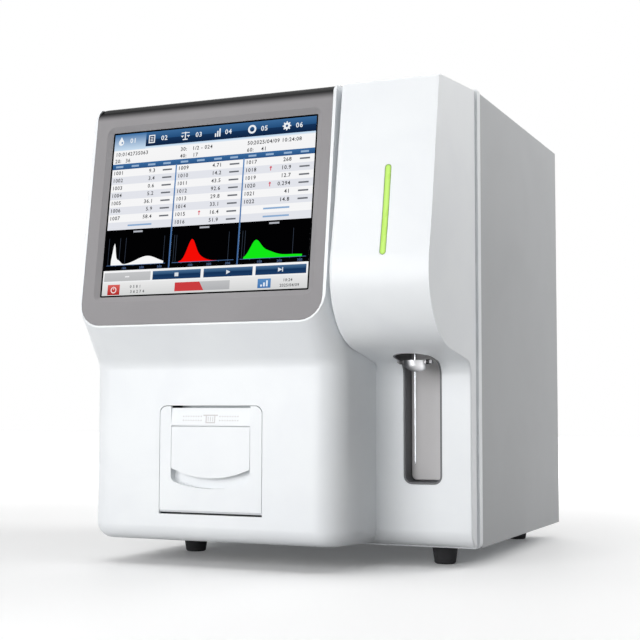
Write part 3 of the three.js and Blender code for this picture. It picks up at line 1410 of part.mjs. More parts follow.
const entryFlange = outline(rectangle(
  entryLeft, entryRight, ...span(inletZ, inletHeight + 2 * inletMargin), inletFlangeRadius));
const inletCavityRadii = [leastRadius, leastRadius, inletCavityRadius, inletCavityRadius];
const inletCavity = around(inletX, inletZ, inletCavityWidth, inletCavityHeight, inletCavityRadii);
piece("power_inlet", join(
  cut(
    join(
      alongY(entryFlange, outerY, outerY + inletFlange),
      alongY(around(inletX, inletZ, inletWidth, inletHeight, inletFlangeRadius), inletBack, outerY + gap),
      alongY(around(rockerX, inletZ, rockerBoxWidth, rockerBoxHeight), inletBack, outerY + gap)),
    alongY(inletCavity, inletFloorY, rearY + overrun),
    alongY(
      around(rockerX, inletZ, rockerWellWidth, rockerWellHeight), inletBack + rockerWall, rearY + overrun),
    rod(rockerPinRadius + gap, 2 * (rockerPinHalf + gap), "x",
      [rockerX - rockerPinHalf - gap, rockerY, inletZ], smallSides)),
  inletPin(inletX, inletZ + inletEarthRise),
  ...span(inletX, inletPinSpacing).map((x) => inletPin(x, inletZ - inletPinDrop))), "black");

const portZ = baseZ + portRise;
const ports = [
  ["diluent_port", "green"],
  ["rinse_port", "blue"],
  ["lyse_port", "orange"],
  ["waste_port", "red"],
].map(([name, finish], k) => ({ name, finish, x: portFirstX + portPitch * k }));
for (const { name, finish, x } of ports) {
  const barbs = Array.from({ length: portBarbs }, (_, k) => [
    [portBarbRadius, portReach - portBarbPitch * (portBarbs - k)],
    [portNeckRadius, portReach - portBarbPitch * (portBarbs - k - 1)],
  ]).flat();
  piece(name, turned([
    [portBoreRadius, -portTail], [portBodyRadius / 2, -portTail], [portBodyRadius / 2, -portTail / 2],
    [portBodyRadius, -portTail / 2], [portBodyRadius, gap], [portFlangeRadius, gap],
    [portFlangeRadius, portFlange], [portNeckRadius, portFlange], ...barbs,
    [portBoreRadius, portReach], [portBoreRadius, -portTail],
  ], "y", [x, rearY, portZ], portSides), finish);
}
const sensorZ = baseZ + sensorRise;
const sensorPinSpots = Array.from({ length: sensorPins }, (_, k) => {
  const turn = (2 * Math.PI * k) / sensorPins;
  return [sensorX + sensorPinRing * Math.cos(turn), rearY, sensorZ + sensorPinRing * Math.sin(turn)];
});
piece("waste_sensor_socket", join(
  turned([
    [0, -portTail], [sensorRadius, -portTail], [sensorRadius, gap], [sensorFlangeRadius, gap],
    [sensorFlangeRadius, portFlange], [sensorRadius, portFlange], [sensorRadius, sensorReach],
    [sensorBoreRadius, sensorReach], [sensorBoreRadius, gap], [0, gap],
  ], "y", [sensorX, rearY, sensorZ]),
  ...sensorPinSpots.map((spot) => rod(sensorPinRadius, sensorReach - 2 * sensorPinRadius, "y", spot))),
"dark");

const dataZ = baseZ + dataRise;
const [shellFootZ, shellTopZ] = span(dataZ, serialShellHeight);
const serialShell = (inset) => outline([
  [serialX - serialShellWidth / 2 + serialSlant, shellFootZ, serialRadius],
  [serialX + serialShellWidth / 2 - serialSlant, shellFootZ, serialRadius],
  [serialX + serialShellWidth / 2, shellTopZ, serialRadius],
  [serialX - serialShellWidth / 2, shellTopZ, serialRadius],
], inset);
piece("serial_port", cut(
  join(
    alongY(around(serialX, dataZ, serialWidth, serialHeight, serialRadius), outerY, outerY + serialFlange),
    alongY(serialShell(0), rearY - socketDepth, outerY + serialShellReach),
    ...span(serialX, serialScrewSpacing).map((x) => rod(
      serialScrewRadius, serialScrewReach + serialFlange, "y", [x, outerY, dataZ], hexSides))),
  alongY(serialShell(serialRim), outerY + serialFlange, outerY + serialShellReach + overrun)), "zinc");
const usbSlots = span(dataZ, usbSlotPitch);
piece("usb_socket", join(
  cut(
    alongY(around(usbX, dataZ, usbWidth, usbHeight), rearY - socketDepth, rearY + socketProud),
    ...usbSlots.map((z) => alongY(around(usbX, z, usbSlotWidth, usbSlotHeight),
      rearY + socketProud - usbSlotDepth, rearY + overrun))),
  ...usbSlots.map((z) => block(
    ...span(usbX, usbSlotWidth - 2 * usbTongueSet), rearY - usbSlotDepth, rearY + socketProud - usbTongueSet,
    z + usbTongueSet / 2, z + usbTongueSet / 2 + usbTongue))), "zinc");
piece("network_socket", cut(
  alongY(around(networkX, dataZ, networkWidth, networkHeight), rearY - socketDepth, rearY + socketProud),
  alongY(around(networkX, dataZ + networkKeyHeight / 2, networkCavityWidth, networkCavityHeight),
    rearY + socketProud - networkDepth, rearY + overrun),
  alongY(around(networkX, dataZ + (networkKeyHeight - networkCavityHeight) / 2 - networkKeyHeight / 2,
    networkKeyWidth, 2 * networkKeyHeight), rearY + socketProud - networkDepth, rearY + overrun)), "zinc");
piece("ground_terminal", join(
  rod(earthPostRadius, earthReach + earthTail, "y", [earthX, rearY - earthTail, inletZ]),
  rod(earthWasherRadius, earthWasher, "y", [earthX, outerY, inletZ]),
  rod(earthNutRadius, earthNut, "y", [earthX, outerY + earthWasher, inletZ], hexSides)), "brass");

const hole = (x, z, radius) => rod(radius + cutGap, 2 * overrun, "y", [x, rearIn - overrun, z]);
const window = (x, z, width, height, radius = 0) => alongY(
  around(x, z, width + 2 * cutGap, height + 2 * cutGap, radius), rearIn - overrun, rearY + overrun);
const grilleSpokes = Array.from({ length: fanSpokeCount / 2 }, (_, k) => block(
  -fanSize, fanSize, rearIn - 2 * overrun, rearY + 2 * overrun, ...span(0, grilleSpokeWidth))
  .rotate([0, (180 * (2 * k + 1)) / fanSpokeCount, 0]).translate([fanX, 0, fanZ]));
const grille = Array.from({ length: grilleRingCount }, (_, k) => {
  const radius = grilleFirstRadius + grillePitch * k;
  return cut(
    rod(radius + grilleSlot, 2 * overrun, "y", [fanX, rearIn - overrun, fanZ]),
    rod(radius, 4 * overrun, "y", [fanX, rearIn - 2 * overrun, fanZ]),
    ...grilleSpokes);
});
piece("rear_panel", cut(
  block(-innerSide, innerSide, rearIn, rearY, baseZ, coverZ - gap),
  ...grille,
  window(inletX, inletZ, inletWidth, inletHeight, inletFlangeRadius),
  window(rockerX, inletZ, rockerBoxWidth, rockerBoxHeight),
  ...ports.map(({ x }) => hole(x, portZ, portBodyRadius)),
  hole(sensorX, sensorZ, sensorRadius),
  window(serialX, dataZ, serialShellWidth, serialShellHeight),
  window(usbX, dataZ, usbWidth, usbHeight),
  window(networkX, dataZ, networkWidth, networkHeight),
  hole(earthX, inletZ, earthPostRadius)), "grey");

// The finished part stands with the middle of its footprint at the origin.
const reach = new THREE.Box3().setFromObject(analyzer);
analyzer.position.y = -(reach.min.y + reach.max.y) / 2;

export default analyzer;
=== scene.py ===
"""Looks of a bench-top hematology analyzer with a touch screen, a sample probe and a paper printer.

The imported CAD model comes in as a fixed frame. Its nodes keep their place and their mesh, and get
rounded edges, smooth shading and the finish of their material slot. The lit picture on the screen,
the marks on the printer door, the sleeves of the wipe block, the screws of the rear panel and the
inserts and contacts of its sockets are pieces of their own, which ride on the CAD bodies. Lengths
are in metres in the CAD model's frame: +X to the right of someone who faces the analyzer, +Y to
the rear and +Z up. MM turns millimetres into them.
"""

import logging
import math
from collections.abc import Callable, Iterable, Sequence
from dataclasses import dataclass, field
from enum import Enum
from typing import Any

import bmesh
import bpy
from mathutils import Matrix, Vector


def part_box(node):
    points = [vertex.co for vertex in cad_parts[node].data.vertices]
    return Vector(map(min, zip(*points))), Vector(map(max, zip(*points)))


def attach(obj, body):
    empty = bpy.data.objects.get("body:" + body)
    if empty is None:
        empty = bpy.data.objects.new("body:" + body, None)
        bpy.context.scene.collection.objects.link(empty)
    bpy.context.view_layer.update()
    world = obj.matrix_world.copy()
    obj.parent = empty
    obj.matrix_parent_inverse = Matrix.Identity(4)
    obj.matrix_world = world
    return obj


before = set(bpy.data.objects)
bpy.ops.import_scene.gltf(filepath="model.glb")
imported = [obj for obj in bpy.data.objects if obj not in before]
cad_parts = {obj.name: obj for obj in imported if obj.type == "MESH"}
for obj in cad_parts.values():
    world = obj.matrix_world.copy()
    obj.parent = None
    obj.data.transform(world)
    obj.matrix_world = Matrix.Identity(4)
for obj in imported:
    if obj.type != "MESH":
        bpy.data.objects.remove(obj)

log = logging.getLogger("analyzer")
MM = 0.001

Colour = tuple[float, float, float, float]
Point = tuple[float, float]
Box = tuple[float, float, float, float]
Tree = bpy.types.NodeTree
Node = bpy.types.Node
Socket = bpy.types.NodeSocket
Solid = bmesh.types.BMesh

RIGHT, REAR, UP = Vector((1, 0, 0)), Vector((0, 1, 0)), Vector((0, 0, 1))


def linear(code: str) -> Colour:
    """Turns a colour code such as "#f4f6f8" into the linear values that shaders take.

    Args:
        code: Red, green and blue as two hexadecimal digits each, after a hash sign.

    Returns:
        The red, green and blue, taken off the usual display curve, and an alpha of 1.
    """
    shown = [int(code[start : start + 2], 16) / 255 for start in (1, 3, 5)]
    red, green, blue = (
        value / 12.92 if value <= 0.04045 else ((value + 0.055) / 1.055) ** 2.4 for value in shown
    )
    return (red, green, blue, 1.0)


def oblong(left: float, low: float, right: float, high: float) -> list[Point]:
    """Gives the corners of an upright rectangle, anticlockwise."""
    return [(left, low), (right, low), (right, high), (left, high)]


def stand(name: str, data: bpy.types.ID) -> bpy.types.Object:
    """Makes an object from its data and links it to the scene.

    Args:
        name: Name of the object.
        data: Its mesh, lamp or camera.

    Returns:
        The object.
    """
    made = bpy.data.objects.new(name, data)
    bpy.context.scene.collection.objects.link(made)
    return made


def feed(node: Node, inputs: dict[str | int, Any]) -> None:
    """Sets inputs of a node, each to a plain value or to a link from a socket.

    Args:
        node: The node.
        inputs: Value or socket of each input, by the input's name or number.
    """
    for key, value in inputs.items():
        if isinstance(value, Socket):
            node.id_data.links.new(value, node.inputs[key])
        else:
            node.inputs[key].default_value = value


def add(tree: Tree, kind: str, inputs: dict[str | int, Any] | None = None, **settings: Any) -> Node:
    """Adds a node to a tree.

    Args:
        tree: The tree.
        kind: Type of the node.
        inputs: Value or socket of each input, by the input's name or number.
        settings: Values of the node's own settings.

    Returns:
        The node.
    """
    node = tree.nodes.new(kind)
    for name, value in settings.items():
        setattr(node, name, value)
    feed(node, inputs or {})
    return node


def spot(tree: Tree) -> Socket:
    """Adds the place on the surface, in the CAD model's frame."""
    return add(tree, "ShaderNodeTexCoord").outputs["Object"]


def calc(tree: Tree, operation: str, first: Any, second: Any) -> Socket:
    """Adds a sum of two values."""
    return add(tree, "ShaderNodeMath", {0: first, 1: second}, operation=operation).outputs[0]


def mix(tree: Tree, mask: Socket, low: Colour | Socket, high: Colour | Socket) -> Socket:
    """Adds a mix of two colours. The node's colour sockets share their names, so they go by number.

    Args:
        tree: The tree.
        mask: What drives the mix.
        low: Colour at a mask of 0.
        high: Colour at a mask of 1.

    Returns:
        The mixed colour.
    """
    factor, first, second, result = 0, 6, 7, 2
    node = add(tree, "ShaderNodeMix", {factor: mask, first: low, second: high}, data_type="RGBA")
    return node.outputs[result]


def ranged(
    tree: Tree, value: Socket, span: Point = (0, 1), goal: Point = (0, 1), soft: bool = False
) -> Socket:
    """Adds a map of a value from one range to another, held at its ends.

    Args:
        tree: The tree.
        value: The value.
        span: Range that it comes from.
        goal: Range that it goes to.
        soft: Whether it leaves and reaches the ends gently.

    Returns:
        The mapped value.
    """
    ends = dict(zip(("From Min", "From Max", "To Min", "To Max"), (*span, *goal)))
    kind = "SMOOTHSTEP" if soft else "LINEAR"
    node = add(tree, "ShaderNodeMapRange", {"Value": value, **ends}, interpolation_type=kind)
    return node.outputs["Result"]


class Texture(Enum):
    """How the surface of a finish is broken up."""

    MOULDED = "fine spark-eroded grain of a moulding"
    POWDER = "orange peel of a powder coat"
    BRUSHED = "fine lines of drawn or turned metal"
    RUBBER = "matt skin with dust and scuffs"
    BOARD = "solder mask over tracks"
    FIBRE = "fibres of paper"
    POLISHED = "clear or glazed surface with faint smears"


@dataclass(frozen=True)
class Finish:
    """A finish of one material slot.

    Attributes:
        name: Name of the slot.
        colour: Main colour.
        tone: Colour that its patches turn to.
        roughness: Middle roughness.
        texture: How the surface is broken up.
        roughness_spread: How far the roughness goes up and down from its middle.
    """

    name: str
    colour: str
    tone: str
    roughness: float
    texture: Texture
    roughness_spread: float = 0.06
    metallic: float = 0.0
    specular: float = 0.5
    coat: float = 0.0
    transmission: float = 0.0


FINISHES = {
    finish.name: finish
    for finish in (
        Finish("white_moulding", "#f5f8fa", "#f1f4f7", 0.34, Texture.MOULDED, specular=0.45),
        Finish("grey_panel", "#b3b5b7", "#aeb0b2", 0.52, Texture.POWDER, specular=0.35),
        Finish("dark_plastic", "#4a4b4e", "#414245", 0.46, Texture.MOULDED, specular=0.4),
        Finish("black_plastic", "#1b1b1d", "#232326", 0.5, Texture.MOULDED, specular=0.4),
        Finish("foot_rubber", "#2f2f31", "#3b3b3d", 0.82, Texture.RUBBER, specular=0.3),
        Finish("roller_rubber", "#222225", "#2c2c2f", 0.7, Texture.RUBBER, specular=0.3),
        Finish("bright_steel", "#d4d7da", "#c3c7cb", 0.24, Texture.BRUSHED, metallic=1.0),
        Finish("zinc_sheet", "#bcc0c3", "#abb0b4", 0.44, Texture.BRUSHED, metallic=1.0),
        Finish("screen_glass", "#0b0c0e", "#101114", 0.12, Texture.POLISHED, 0.03, 0.0, 0.2, 0.25),
        Finish("key_grey", "#d8d6d7", "#d2d0d1", 0.42, Texture.MOULDED, specular=0.4),
        Finish("bay_grey", "#77787b", "#707174", 0.46, Texture.MOULDED, specular=0.3),
        Finish("board_green", "#1c5a34", "#2a7446", 0.4, Texture.BOARD),
        Finish("paper_white", "#f4f2ee", "#e9e6df", 0.8, Texture.FIBRE, specular=0.25),
        Finish("clear_plastic", "#dfe6ea", "#d3dde2", 0.16, Texture.POLISHED, transmission=0.75),
        Finish("brass", "#c8a45a", "#b08e48", 0.34, Texture.BRUSHED, metallic=1.0),
        Finish("port_green", "#3f9a58", "#388c4f", 0.42, Texture.MOULDED),
        Finish("port_blue", "#2f6fb4", "#2a64a4", 0.42, Texture.MOULDED),
        Finish("port_orange", "#d9832c", "#c97726", 0.42, Texture.MOULDED),
        Finish("port_red", "#b5332f", "#a52c29", 0.42, Texture.MOULDED),
    )
}


@dataclass(frozen=True)
class TextureSize:
    """How large and how strong the parts of a surface texture are.

    Attributes:
        grain: Grains to the metre.
        stretch: How many times longer the grains are along X, Y and Z than they are wide.
        depth: Height of the grains in metres.
        patch: Tone patches to the metre.
    """

    grain: float
    stretch: tuple[float, float, float]
    depth: float
    patch: float


TEXTURES = {
    Texture.MOULDED: TextureSize(2600, (1, 1, 1), 0.00003, 14),
    Texture.POWDER: TextureSize(1100, (1, 1, 1), 0.00006, 9),
    Texture.BRUSHED: TextureSize(1800, (1, 1, 0.04), 0.00002, 22),
    Texture.RUBBER: TextureSize(1500, (1, 1, 1), 0.00009, 60),
    Texture.BOARD: TextureSize(420, (1, 0.35, 1), 0.00005, 120),
    Texture.FIBRE: TextureSize(900, (1, 0.3, 0.3), 0.00003, 40),
    Texture.POLISHED: TextureSize(120, (1, 0.5, 0.5), 0.000002, 18),
}


class Effects:
    """Shader node groups that the finishes share: surface grain and slow changes of tone."""

    cell_share: float = 0.4
    speckle_span: Point = (0.35, 0.65)
    patch_span: Point = (0.3, 0.7)

    def __init__(self) -> None:
        """Builds the two groups."""
        self.grain = self._grain()
        self.patches = self._patches()

    @staticmethod
    def _group(
        name: str, inputs: dict[str, float | None], outputs: Iterable[str]
    ) -> tuple[Tree, Any, Node]:
        """Makes an empty shader group with its sockets.

        Args:
            name: Name of the group.
            inputs: First value of each value input, and None for a vector.
            outputs: Names of the value outputs.

        Returns:
            The group, the sockets that come into it and its output node.
        """
        tree = bpy.data.node_groups.new(name, "ShaderNodeTree")
        for title, value in inputs.items():
            kind = "NodeSocketVector" if value is None else "NodeSocketFloat"
            socket = tree.interface.new_socket(title, in_out="INPUT", socket_type=kind)
            if value is not None:
                socket.default_value = value
        for title in outputs:
            tree.interface.new_socket(title, in_out="OUTPUT", socket_type="NodeSocketFloat")
        return tree, add(tree, "NodeGroupInput").outputs, add(tree, "NodeGroupOutput")

    def _grain(self) -> Tree:
        """Fine grain over a surface: cells broken up by noise, as a height and as a speckle mask.

        Returns:
            The group.
        """
        inputs = {"Vector": None, "Stretch": None, "Scale": 1000}
        tree, given, leave = self._group("surface grain", inputs, ("Height", "Speckle"))
        ends = {0: given["Vector"], 1: given["Stretch"]}
        stretched = add(tree, "ShaderNodeVectorMath", ends, operation="MULTIPLY")
        where = {"Vector": stretched.outputs[0], "Scale": given["Scale"]}
        noise = add(tree, "ShaderNodeTexNoise", {**where, "Detail": 3.0, "Roughness": 0.6})
        cells = add(tree, "ShaderNodeTexVoronoi", where, feature="SMOOTH_F1")
        shares = {
            "Factor": self.cell_share, "A": noise.outputs["Fac"], "B": cells.outputs["Distance"]}
        feed(leave, {
            "Height": add(tree, "ShaderNodeMix", shares).outputs["Result"],
            "Speckle": ranged(tree, noise.outputs["Fac"], self.speckle_span),
        })
        return tree

    def _patches(self) -> Tree:
        """Slow changes over a surface, from the moulding, the coating or handling, as a soft mask.

        Returns:
            The group.
        """
        tree, given, leave = self._group("tone patches", {"Vector": None, "Scale": 12}, ("Mask",))
        where = {name: given[name] for name in ("Vector", "Scale")}
        noise = add(tree, "ShaderNodeTexNoise", {**where, "Detail": 4.0, "Distortion": 0.4})
        feed(leave, {"Mask": ranged(tree, noise.outputs["Fac"], self.patch_span, soft=True)})
        return tree


class Paintbox:
    """Makes the materials of the finishes from the shared groups, each once."""

    bump_strength: float = 0.5

    def __init__(self) -> None:
        """Builds the shared groups and starts with no material made."""
        self.effects = Effects()
        self.made: dict[str, bpy.types.Material] = {}

    @staticmethod
    def blank(name: str) -> tuple[bpy.types.Material, Node]:
        """Makes a material that holds a Principled shader and an output alone.

        Args:
            name: Name of the material.

        Returns:
            The material and its Principled shader.
        """
        material = bpy.data.materials.new(name)
        material.use_nodes = True
        return material, material.node_tree.nodes["Principled BSDF"]

    def textured(self, finish: Finish) -> tuple[bpy.types.Material, Node, Socket]:
        """Makes a material with the grain, the uneven gloss and the plain values of a finish.

        Args:
            finish: The finish.

        Returns:
            The material, its Principled shader and its tone mask.
        """
        material, shader = self.blank(finish.name)
        tree, size = material.node_tree, TEXTURES[finish.texture]
        place = spot(tree)
        grains = {"Vector": place, "Stretch": size.stretch, "Scale": size.grain}
        grain = add(tree, "ShaderNodeGroup", grains, node_tree=self.effects.grain).outputs
        tones = {"Vector": place, "Scale": size.patch}
        patches = add(tree, "ShaderNodeGroup", tones, node_tree=self.effects.patches)
        middle, spread = finish.roughness, finish.roughness_spread
        bump = add(tree, "ShaderNodeBump", {
            "Height": grain["Height"], "Distance": size.depth, "Strength": self.bump_strength})
        feed(shader, {
            "Roughness": ranged(tree, grain["Speckle"], goal=(middle - spread, middle + spread)),
            "Normal": bump.outputs["Normal"],
            "Metallic": finish.metallic,
            "Specular IOR Level": finish.specular,
            "Coat Weight": finish.coat,
            "Transmission Weight": finish.transmission,
        })
        return material, shader, patches.outputs["Mask"]

    def material(self, name: str) -> bpy.types.Material:
        """Gives the material of a finish, and makes it the first time.

        Args:
            name: Name of the finish, which is its material slot.

        Returns:
            The material.
        """
        if name not in self.made:
            finish = FINISHES[name]
            material, shader, mask = self.textured(finish)
            tones = mix(material.node_tree, mask, linear(finish.colour), linear(finish.tone))
            feed(shader, {"Base Color": tones})
            self.made[name] = material
        return self.made[name]


@dataclass(frozen=True)
class Face:
    """A flat face of the analyzer with its own directions: across, up and out."""

    origin: Vector
    across: Vector
    up: Vector
    out: Vector

    def at(self, across: float, up: float, out: float) -> Vector:
        """Gives the point that lies across, up and out from the face's origin."""
        return self.origin + self.across * across + self.up * up + self.out * out

    def matrix(self, across: float = 0, up: float = 0) -> Matrix:
        """Gives the matrix that sets a piece drawn in XY, facing +Z, on the face at a point."""
        basis = Matrix((self.across, self.up, self.out)).transposed().to_4x4()
        return Matrix.Translation(self.at(across, up, 0)) @ basis


class Workshop:
    """Shared ways of making meshes and finishing the edges of CAD nodes."""

    crisp_angle: float = 33
    weld_gap: float = 0.01 * MM
    round_angle: float = math.radians(40)
    round_steps: int = 2

    def __init__(self, paintbox: Paintbox) -> None:
        """Keeps the paintbox, where the materials come from, and builds the smoothing group."""
        self.paintbox = paintbox
        self.smoothing = self._smoothing()

    def _smoothing(self) -> Tree:
        """Builds a geometry group that shades a mesh smooth, but for edges sharper than its angle.

        Returns:
            The group.
        """
        tree = bpy.data.node_groups.new("smooth by angle", "GeometryNodeTree")
        shape, socket = "NodeSocketGeometry", tree.interface.new_socket
        socket("Geometry", in_out="INPUT", socket_type=shape)
        self.angle_input = socket("Angle", in_out="INPUT", socket_type="NodeSocketFloat").identifier
        socket("Geometry", in_out="OUTPUT", socket_type=shape)
        entry = add(tree, "NodeGroupInput").outputs
        forget = {"Geometry": entry["Geometry"], "Name": "custom_normal"}
        plain = add(tree, "GeometryNodeRemoveAttribute", forget).outputs["Geometry"]
        faces = add(tree, "GeometryNodeSetShadeSmooth", {"Geometry": plain}).outputs["Geometry"]
        bend = add(tree, "GeometryNodeInputMeshEdgeAngle").outputs["Unsigned Angle"]
        angles = {0: bend, 1: entry["Angle"]}
        gentle = add(tree, "FunctionNodeCompare", angles, operation="LESS_EQUAL").outputs["Result"]
        smooth = {"Geometry": faces, "Shade Smooth": gentle}
        edges = add(tree, "GeometryNodeSetShadeSmooth", smooth, domain="EDGE")
        add(tree, "NodeGroupOutput", {"Geometry": edges.outputs["Geometry"]})
        return tree

    def soften(self, piece: bpy.types.Object, radius: float, angle: float = crisp_angle) -> None:
        """Welds a piece's mesh, rounds its sharp edges and shades it smooth, all as modifiers.

        Args:
            piece: The piece or CAD node.
            radius: Radius of the edges; 0 leaves them sharp.
            angle: Degrees between two faces above which the edge stays crisp.
        """
        piece.modifiers.new("weld", "WELD").merge_threshold = self.weld_gap
        if radius:
            edges = piece.modifiers.new("edges", "BEVEL")
            edges.width = radius
            edges.segments = self.round_steps
            edges.limit_method = "ANGLE"
            edges.angle_limit = self.round_angle
            edges.miter_outer = "MITER_ARC"
        smooth = piece.modifiers.new("smooth", "NODES")
        smooth.node_group = self.smoothing
        smooth[self.angle_input] = math.radians(angle)
        piece.modifiers.new("even", "WEIGHTED_NORMAL").keep_sharp = True

    def paint(self, finish: str | bpy.types.Material) -> bpy.types.Material:
        """Gives the material of a finish's name, or the material itself."""
        return self.paintbox.material(finish) if isinstance(finish, str) else finish

    def dress(
        self, node: str, finish: str | bpy.types.Material, radius: float = 0,
        angle: float = crisp_angle,
    ) -> None:
        """Gives a CAD node its finish and softened edges.

        Args:
            node: Name of the CAD node.
            finish: Name of the finish, or a material.
            radius: Radius of its edges.
            angle: Degrees between two faces above which the edge stays crisp.
        """
        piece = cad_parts[node]
        material = self.paint(finish)
        for slot in piece.material_slots:
            slot.material = material
        self.soften(piece, radius, angle)
        log.info("%s: %s", node, material.name)

    def piece(
        self, name: str, mesh: bpy.types.Mesh, body: str, finish: str | bpy.types.Material
    ) -> bpy.types.Object:
        """Makes a piece from a mesh, paints it and sets it on a body.

        Args:
            name: Name of the piece.
            mesh: Its mesh, in the CAD model's frame.
            body: The body that it rides on.
            finish: Name of the finish, or a material.

        Returns:
            The piece.
        """
        made = stand(name, mesh)
        material = self.paint(finish)
        mesh.materials.append(material)
        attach(made, body)
        log.info("%s: %s, on %s", name, material.name, body)
        return made

    def make(
        self, name: str, build: Callable[[Solid], None], body: str, finish: str, radius: float = 0
    ) -> None:
        """Makes a piece with a function that fills its mesh, and softens its edges.

        Args:
            name: Name of the piece.
            build: Function that adds to a mesh.
            body: The body that it rides on.
            finish: Name of the finish.
            radius: Radius of its edges.
        """
        solid = bmesh.new()
        build(solid)
        mesh = bpy.data.meshes.new(name)
        solid.to_mesh(mesh)
        solid.free()
        self.soften(self.piece(name, mesh, body, finish), radius)

    @staticmethod
    def turned(solid: Solid, profile: Sequence[Point], sides: int, place: Matrix) -> None:
        """Adds a closed turned body to a mesh.

        Args:
            solid: The mesh.
            profile: Radius and height of each ring, upwards; a radius of 0 closes it.
            sides: Faces round the body.
            place: Matrix from the body's own axis, +Z, to the CAD model's frame.
        """
        turns = [math.tau * k / sides for k in range(sides)]
        rings = []
        for radius, height in profile:
            places = (
                (radius * math.cos(turn), radius * math.sin(turn), height)
                for turn in (turns if radius else turns[:1]))
            rings.append([solid.verts.new(place @ Vector(point)) for point in places])
        for low, high in zip(rings, rings[1:]):
            for k in range(sides):
                steps = ((low, k), (low, k + 1), (high, k + 1), (high, k))
                corners = (ring[step % sides % len(ring)] for ring, step in steps)
                distinct = list(dict.fromkeys(corners))
                if len(distinct) > 2:
                    solid.faces.new(distinct)
        for ring in (rings[0][::-1], rings[-1]):
            if len(ring) > 1:
                solid.faces.new(ring)

    @staticmethod
    def slab(
        solid: Solid, outline: Sequence[Point], low: float, high: float, place: Matrix
    ) -> None:
        """Adds a closed slab to a mesh, drawn in XY and thick along Z.

        Args:
            solid: The mesh.
            outline: Corners anticlockwise.
            low: Height of its back.
            high: Height of its front.
            place: Matrix from its own frame to the CAD model's.
        """
        back, front = (
            [solid.verts.new(place @ Vector((x, y, z))) for x, y in outline] for z in (low, high))
        for k, corner in enumerate(back):
            after = (k + 1) % len(back)
            solid.faces.new((corner, back[after], front[after], front[k]))
        solid.faces.new(back[::-1])
        solid.faces.new(front)


@dataclass
class Moulding:
    """The white front moulding: head, lower body with the printer, and column with the nose."""

    shop: Workshop
    edge: float = 0.5 * MM

    def build(self) -> None:
        """Dresses the moulding and the rim behind it."""
        for node in ("front_housing", "front_rim"):
            self.shop.dress(node, "white_moulding", self.edge)


@dataclass
class DisplayHead:
    """The display bezel, its glass and the module behind them.

    Attributes:
        shop: Where the pieces are made.
        middle: X of the display's middle.
        front: Y of the display's top edge.
        top: Z of the display's top edge.
        lean: Angle by which the display leans back, in radians.
        edge: Radius of the edges.
        crisp_angle: Degrees between two faces above which an edge of the bezel stays crisp.
        bezel: Finish of the bezel.
        painted_reflection_colour: Black painted over its rolled top edge, a painted reflection of
            dark surroundings.
        painted_reflection_end: How far that painted black goes down from the top.
        painted_reflection_fade: How far down the bezel's own colour starts, below the painted
            reflection.
    """

    shop: Workshop
    middle: float = -48.55 * MM
    front: float = -205.704 * MM
    top: float = 433.8 * MM
    lean: float = math.radians(7.47)
    edge: float = 0.4 * MM
    crisp_angle: float = 20
    bezel: Finish = Finish("bezel_grey", "#9b999b", "#979597", 0.42, Texture.MOULDED, specular=0.1)
    # Painted reflection: black over the rolled top edge stands for dark surroundings mirrored there
    painted_reflection_colour: str = "#0b0b0c"
    painted_reflection_end: float = 4.9 * MM
    painted_reflection_fade: float = 13.5 * MM

    @property
    def face(self) -> Face:
        """The leaning front plane, from the middle of its top edge."""
        up = REAR * math.sin(self.lean) + UP * math.cos(self.lean)
        return Face(Vector((self.middle, self.front, self.top)), RIGHT, up, RIGHT.cross(up))

    def bezel_material(self) -> bpy.types.Material:
        """Makes a satin grey that turns to a painted black reflection over the rolled top edge.

        Returns:
            The material.
        """
        material, shader, mask = self.shop.paintbox.textured(self.bezel)
        tree, up = material.node_tree, self.face.up
        top = self.face.origin.dot(up)
        along = add(tree, "ShaderNodeVectorMath", {0: spot(tree), 1: up}, operation="DOT_PRODUCT")
        # Painted reflection: the grey turns black towards the top edge, by height along the leaning
        # face
        span = (top - self.painted_reflection_fade, top - self.painted_reflection_end)
        painted_reflection_mask = ranged(tree, along.outputs["Value"], span, soft=True)
        satin = mix(tree, mask, linear(self.bezel.colour), linear(self.bezel.tone))
        feed(shader, {"Base Color": mix(tree, painted_reflection_mask, satin, linear(self.painted_reflection_colour))})
        return material

    def build(self) -> None:
        """Dresses the bezel, the glass and the module."""
        self.shop.dress("display_bezel", self.bezel_material(), self.edge, self.crisp_angle)
        self.shop.dress("touch_glass", "screen_glass", self.edge)
        self.shop.dress("lcd_module", "zinc_sheet", self.edge)


@dataclass(frozen=True)
class Chart:
    """One histogram of the picture, in the picture's millimetres.

    Attributes:
        colour: Colour of its area.
        span: Left and right end of the area.
        humps: Middle, spread and height of each hump that the area is the sum of.
        marks: Places of the upright lines.
        axis: Left and right end of the axis.
    """

    colour: str
    span: Point
    humps: tuple[tuple[float, float, float], ...]
    marks: tuple[float, ...]
    axis: Point


CHARTS = (
    Chart("#ffffff", (7.0, 63.8), ((9.7, 1.6, 20.5), (14.6, 2.6, 4.8), (46.0, 11.0, 7.6)),
          (3.4, 15.6, 21.8, 63.3), (2.5, 65.8)),
    Chart("#fb0d06", (80.0, 119.5), ((92.5, 4.1, 16.0), (97.0, 7.5, 6.2)),
          (73.9, 76.2, 130.6), (73.0, 136.8)),
    Chart("#12ef18", (146.6, 204.4), ((157.8, 5.0, 13.8), (168.0, 8.4, 6.2), (196.0, 16.0, 2.2)),
          (144.4, 147.0, 194.8), (143.0, 208.4)),
)
ICON, TAB, INK, PALE, GLYPH = "#f4f8fc", "#3f76ad", "#303236", "#dfe6ee", "#e7f0fa"

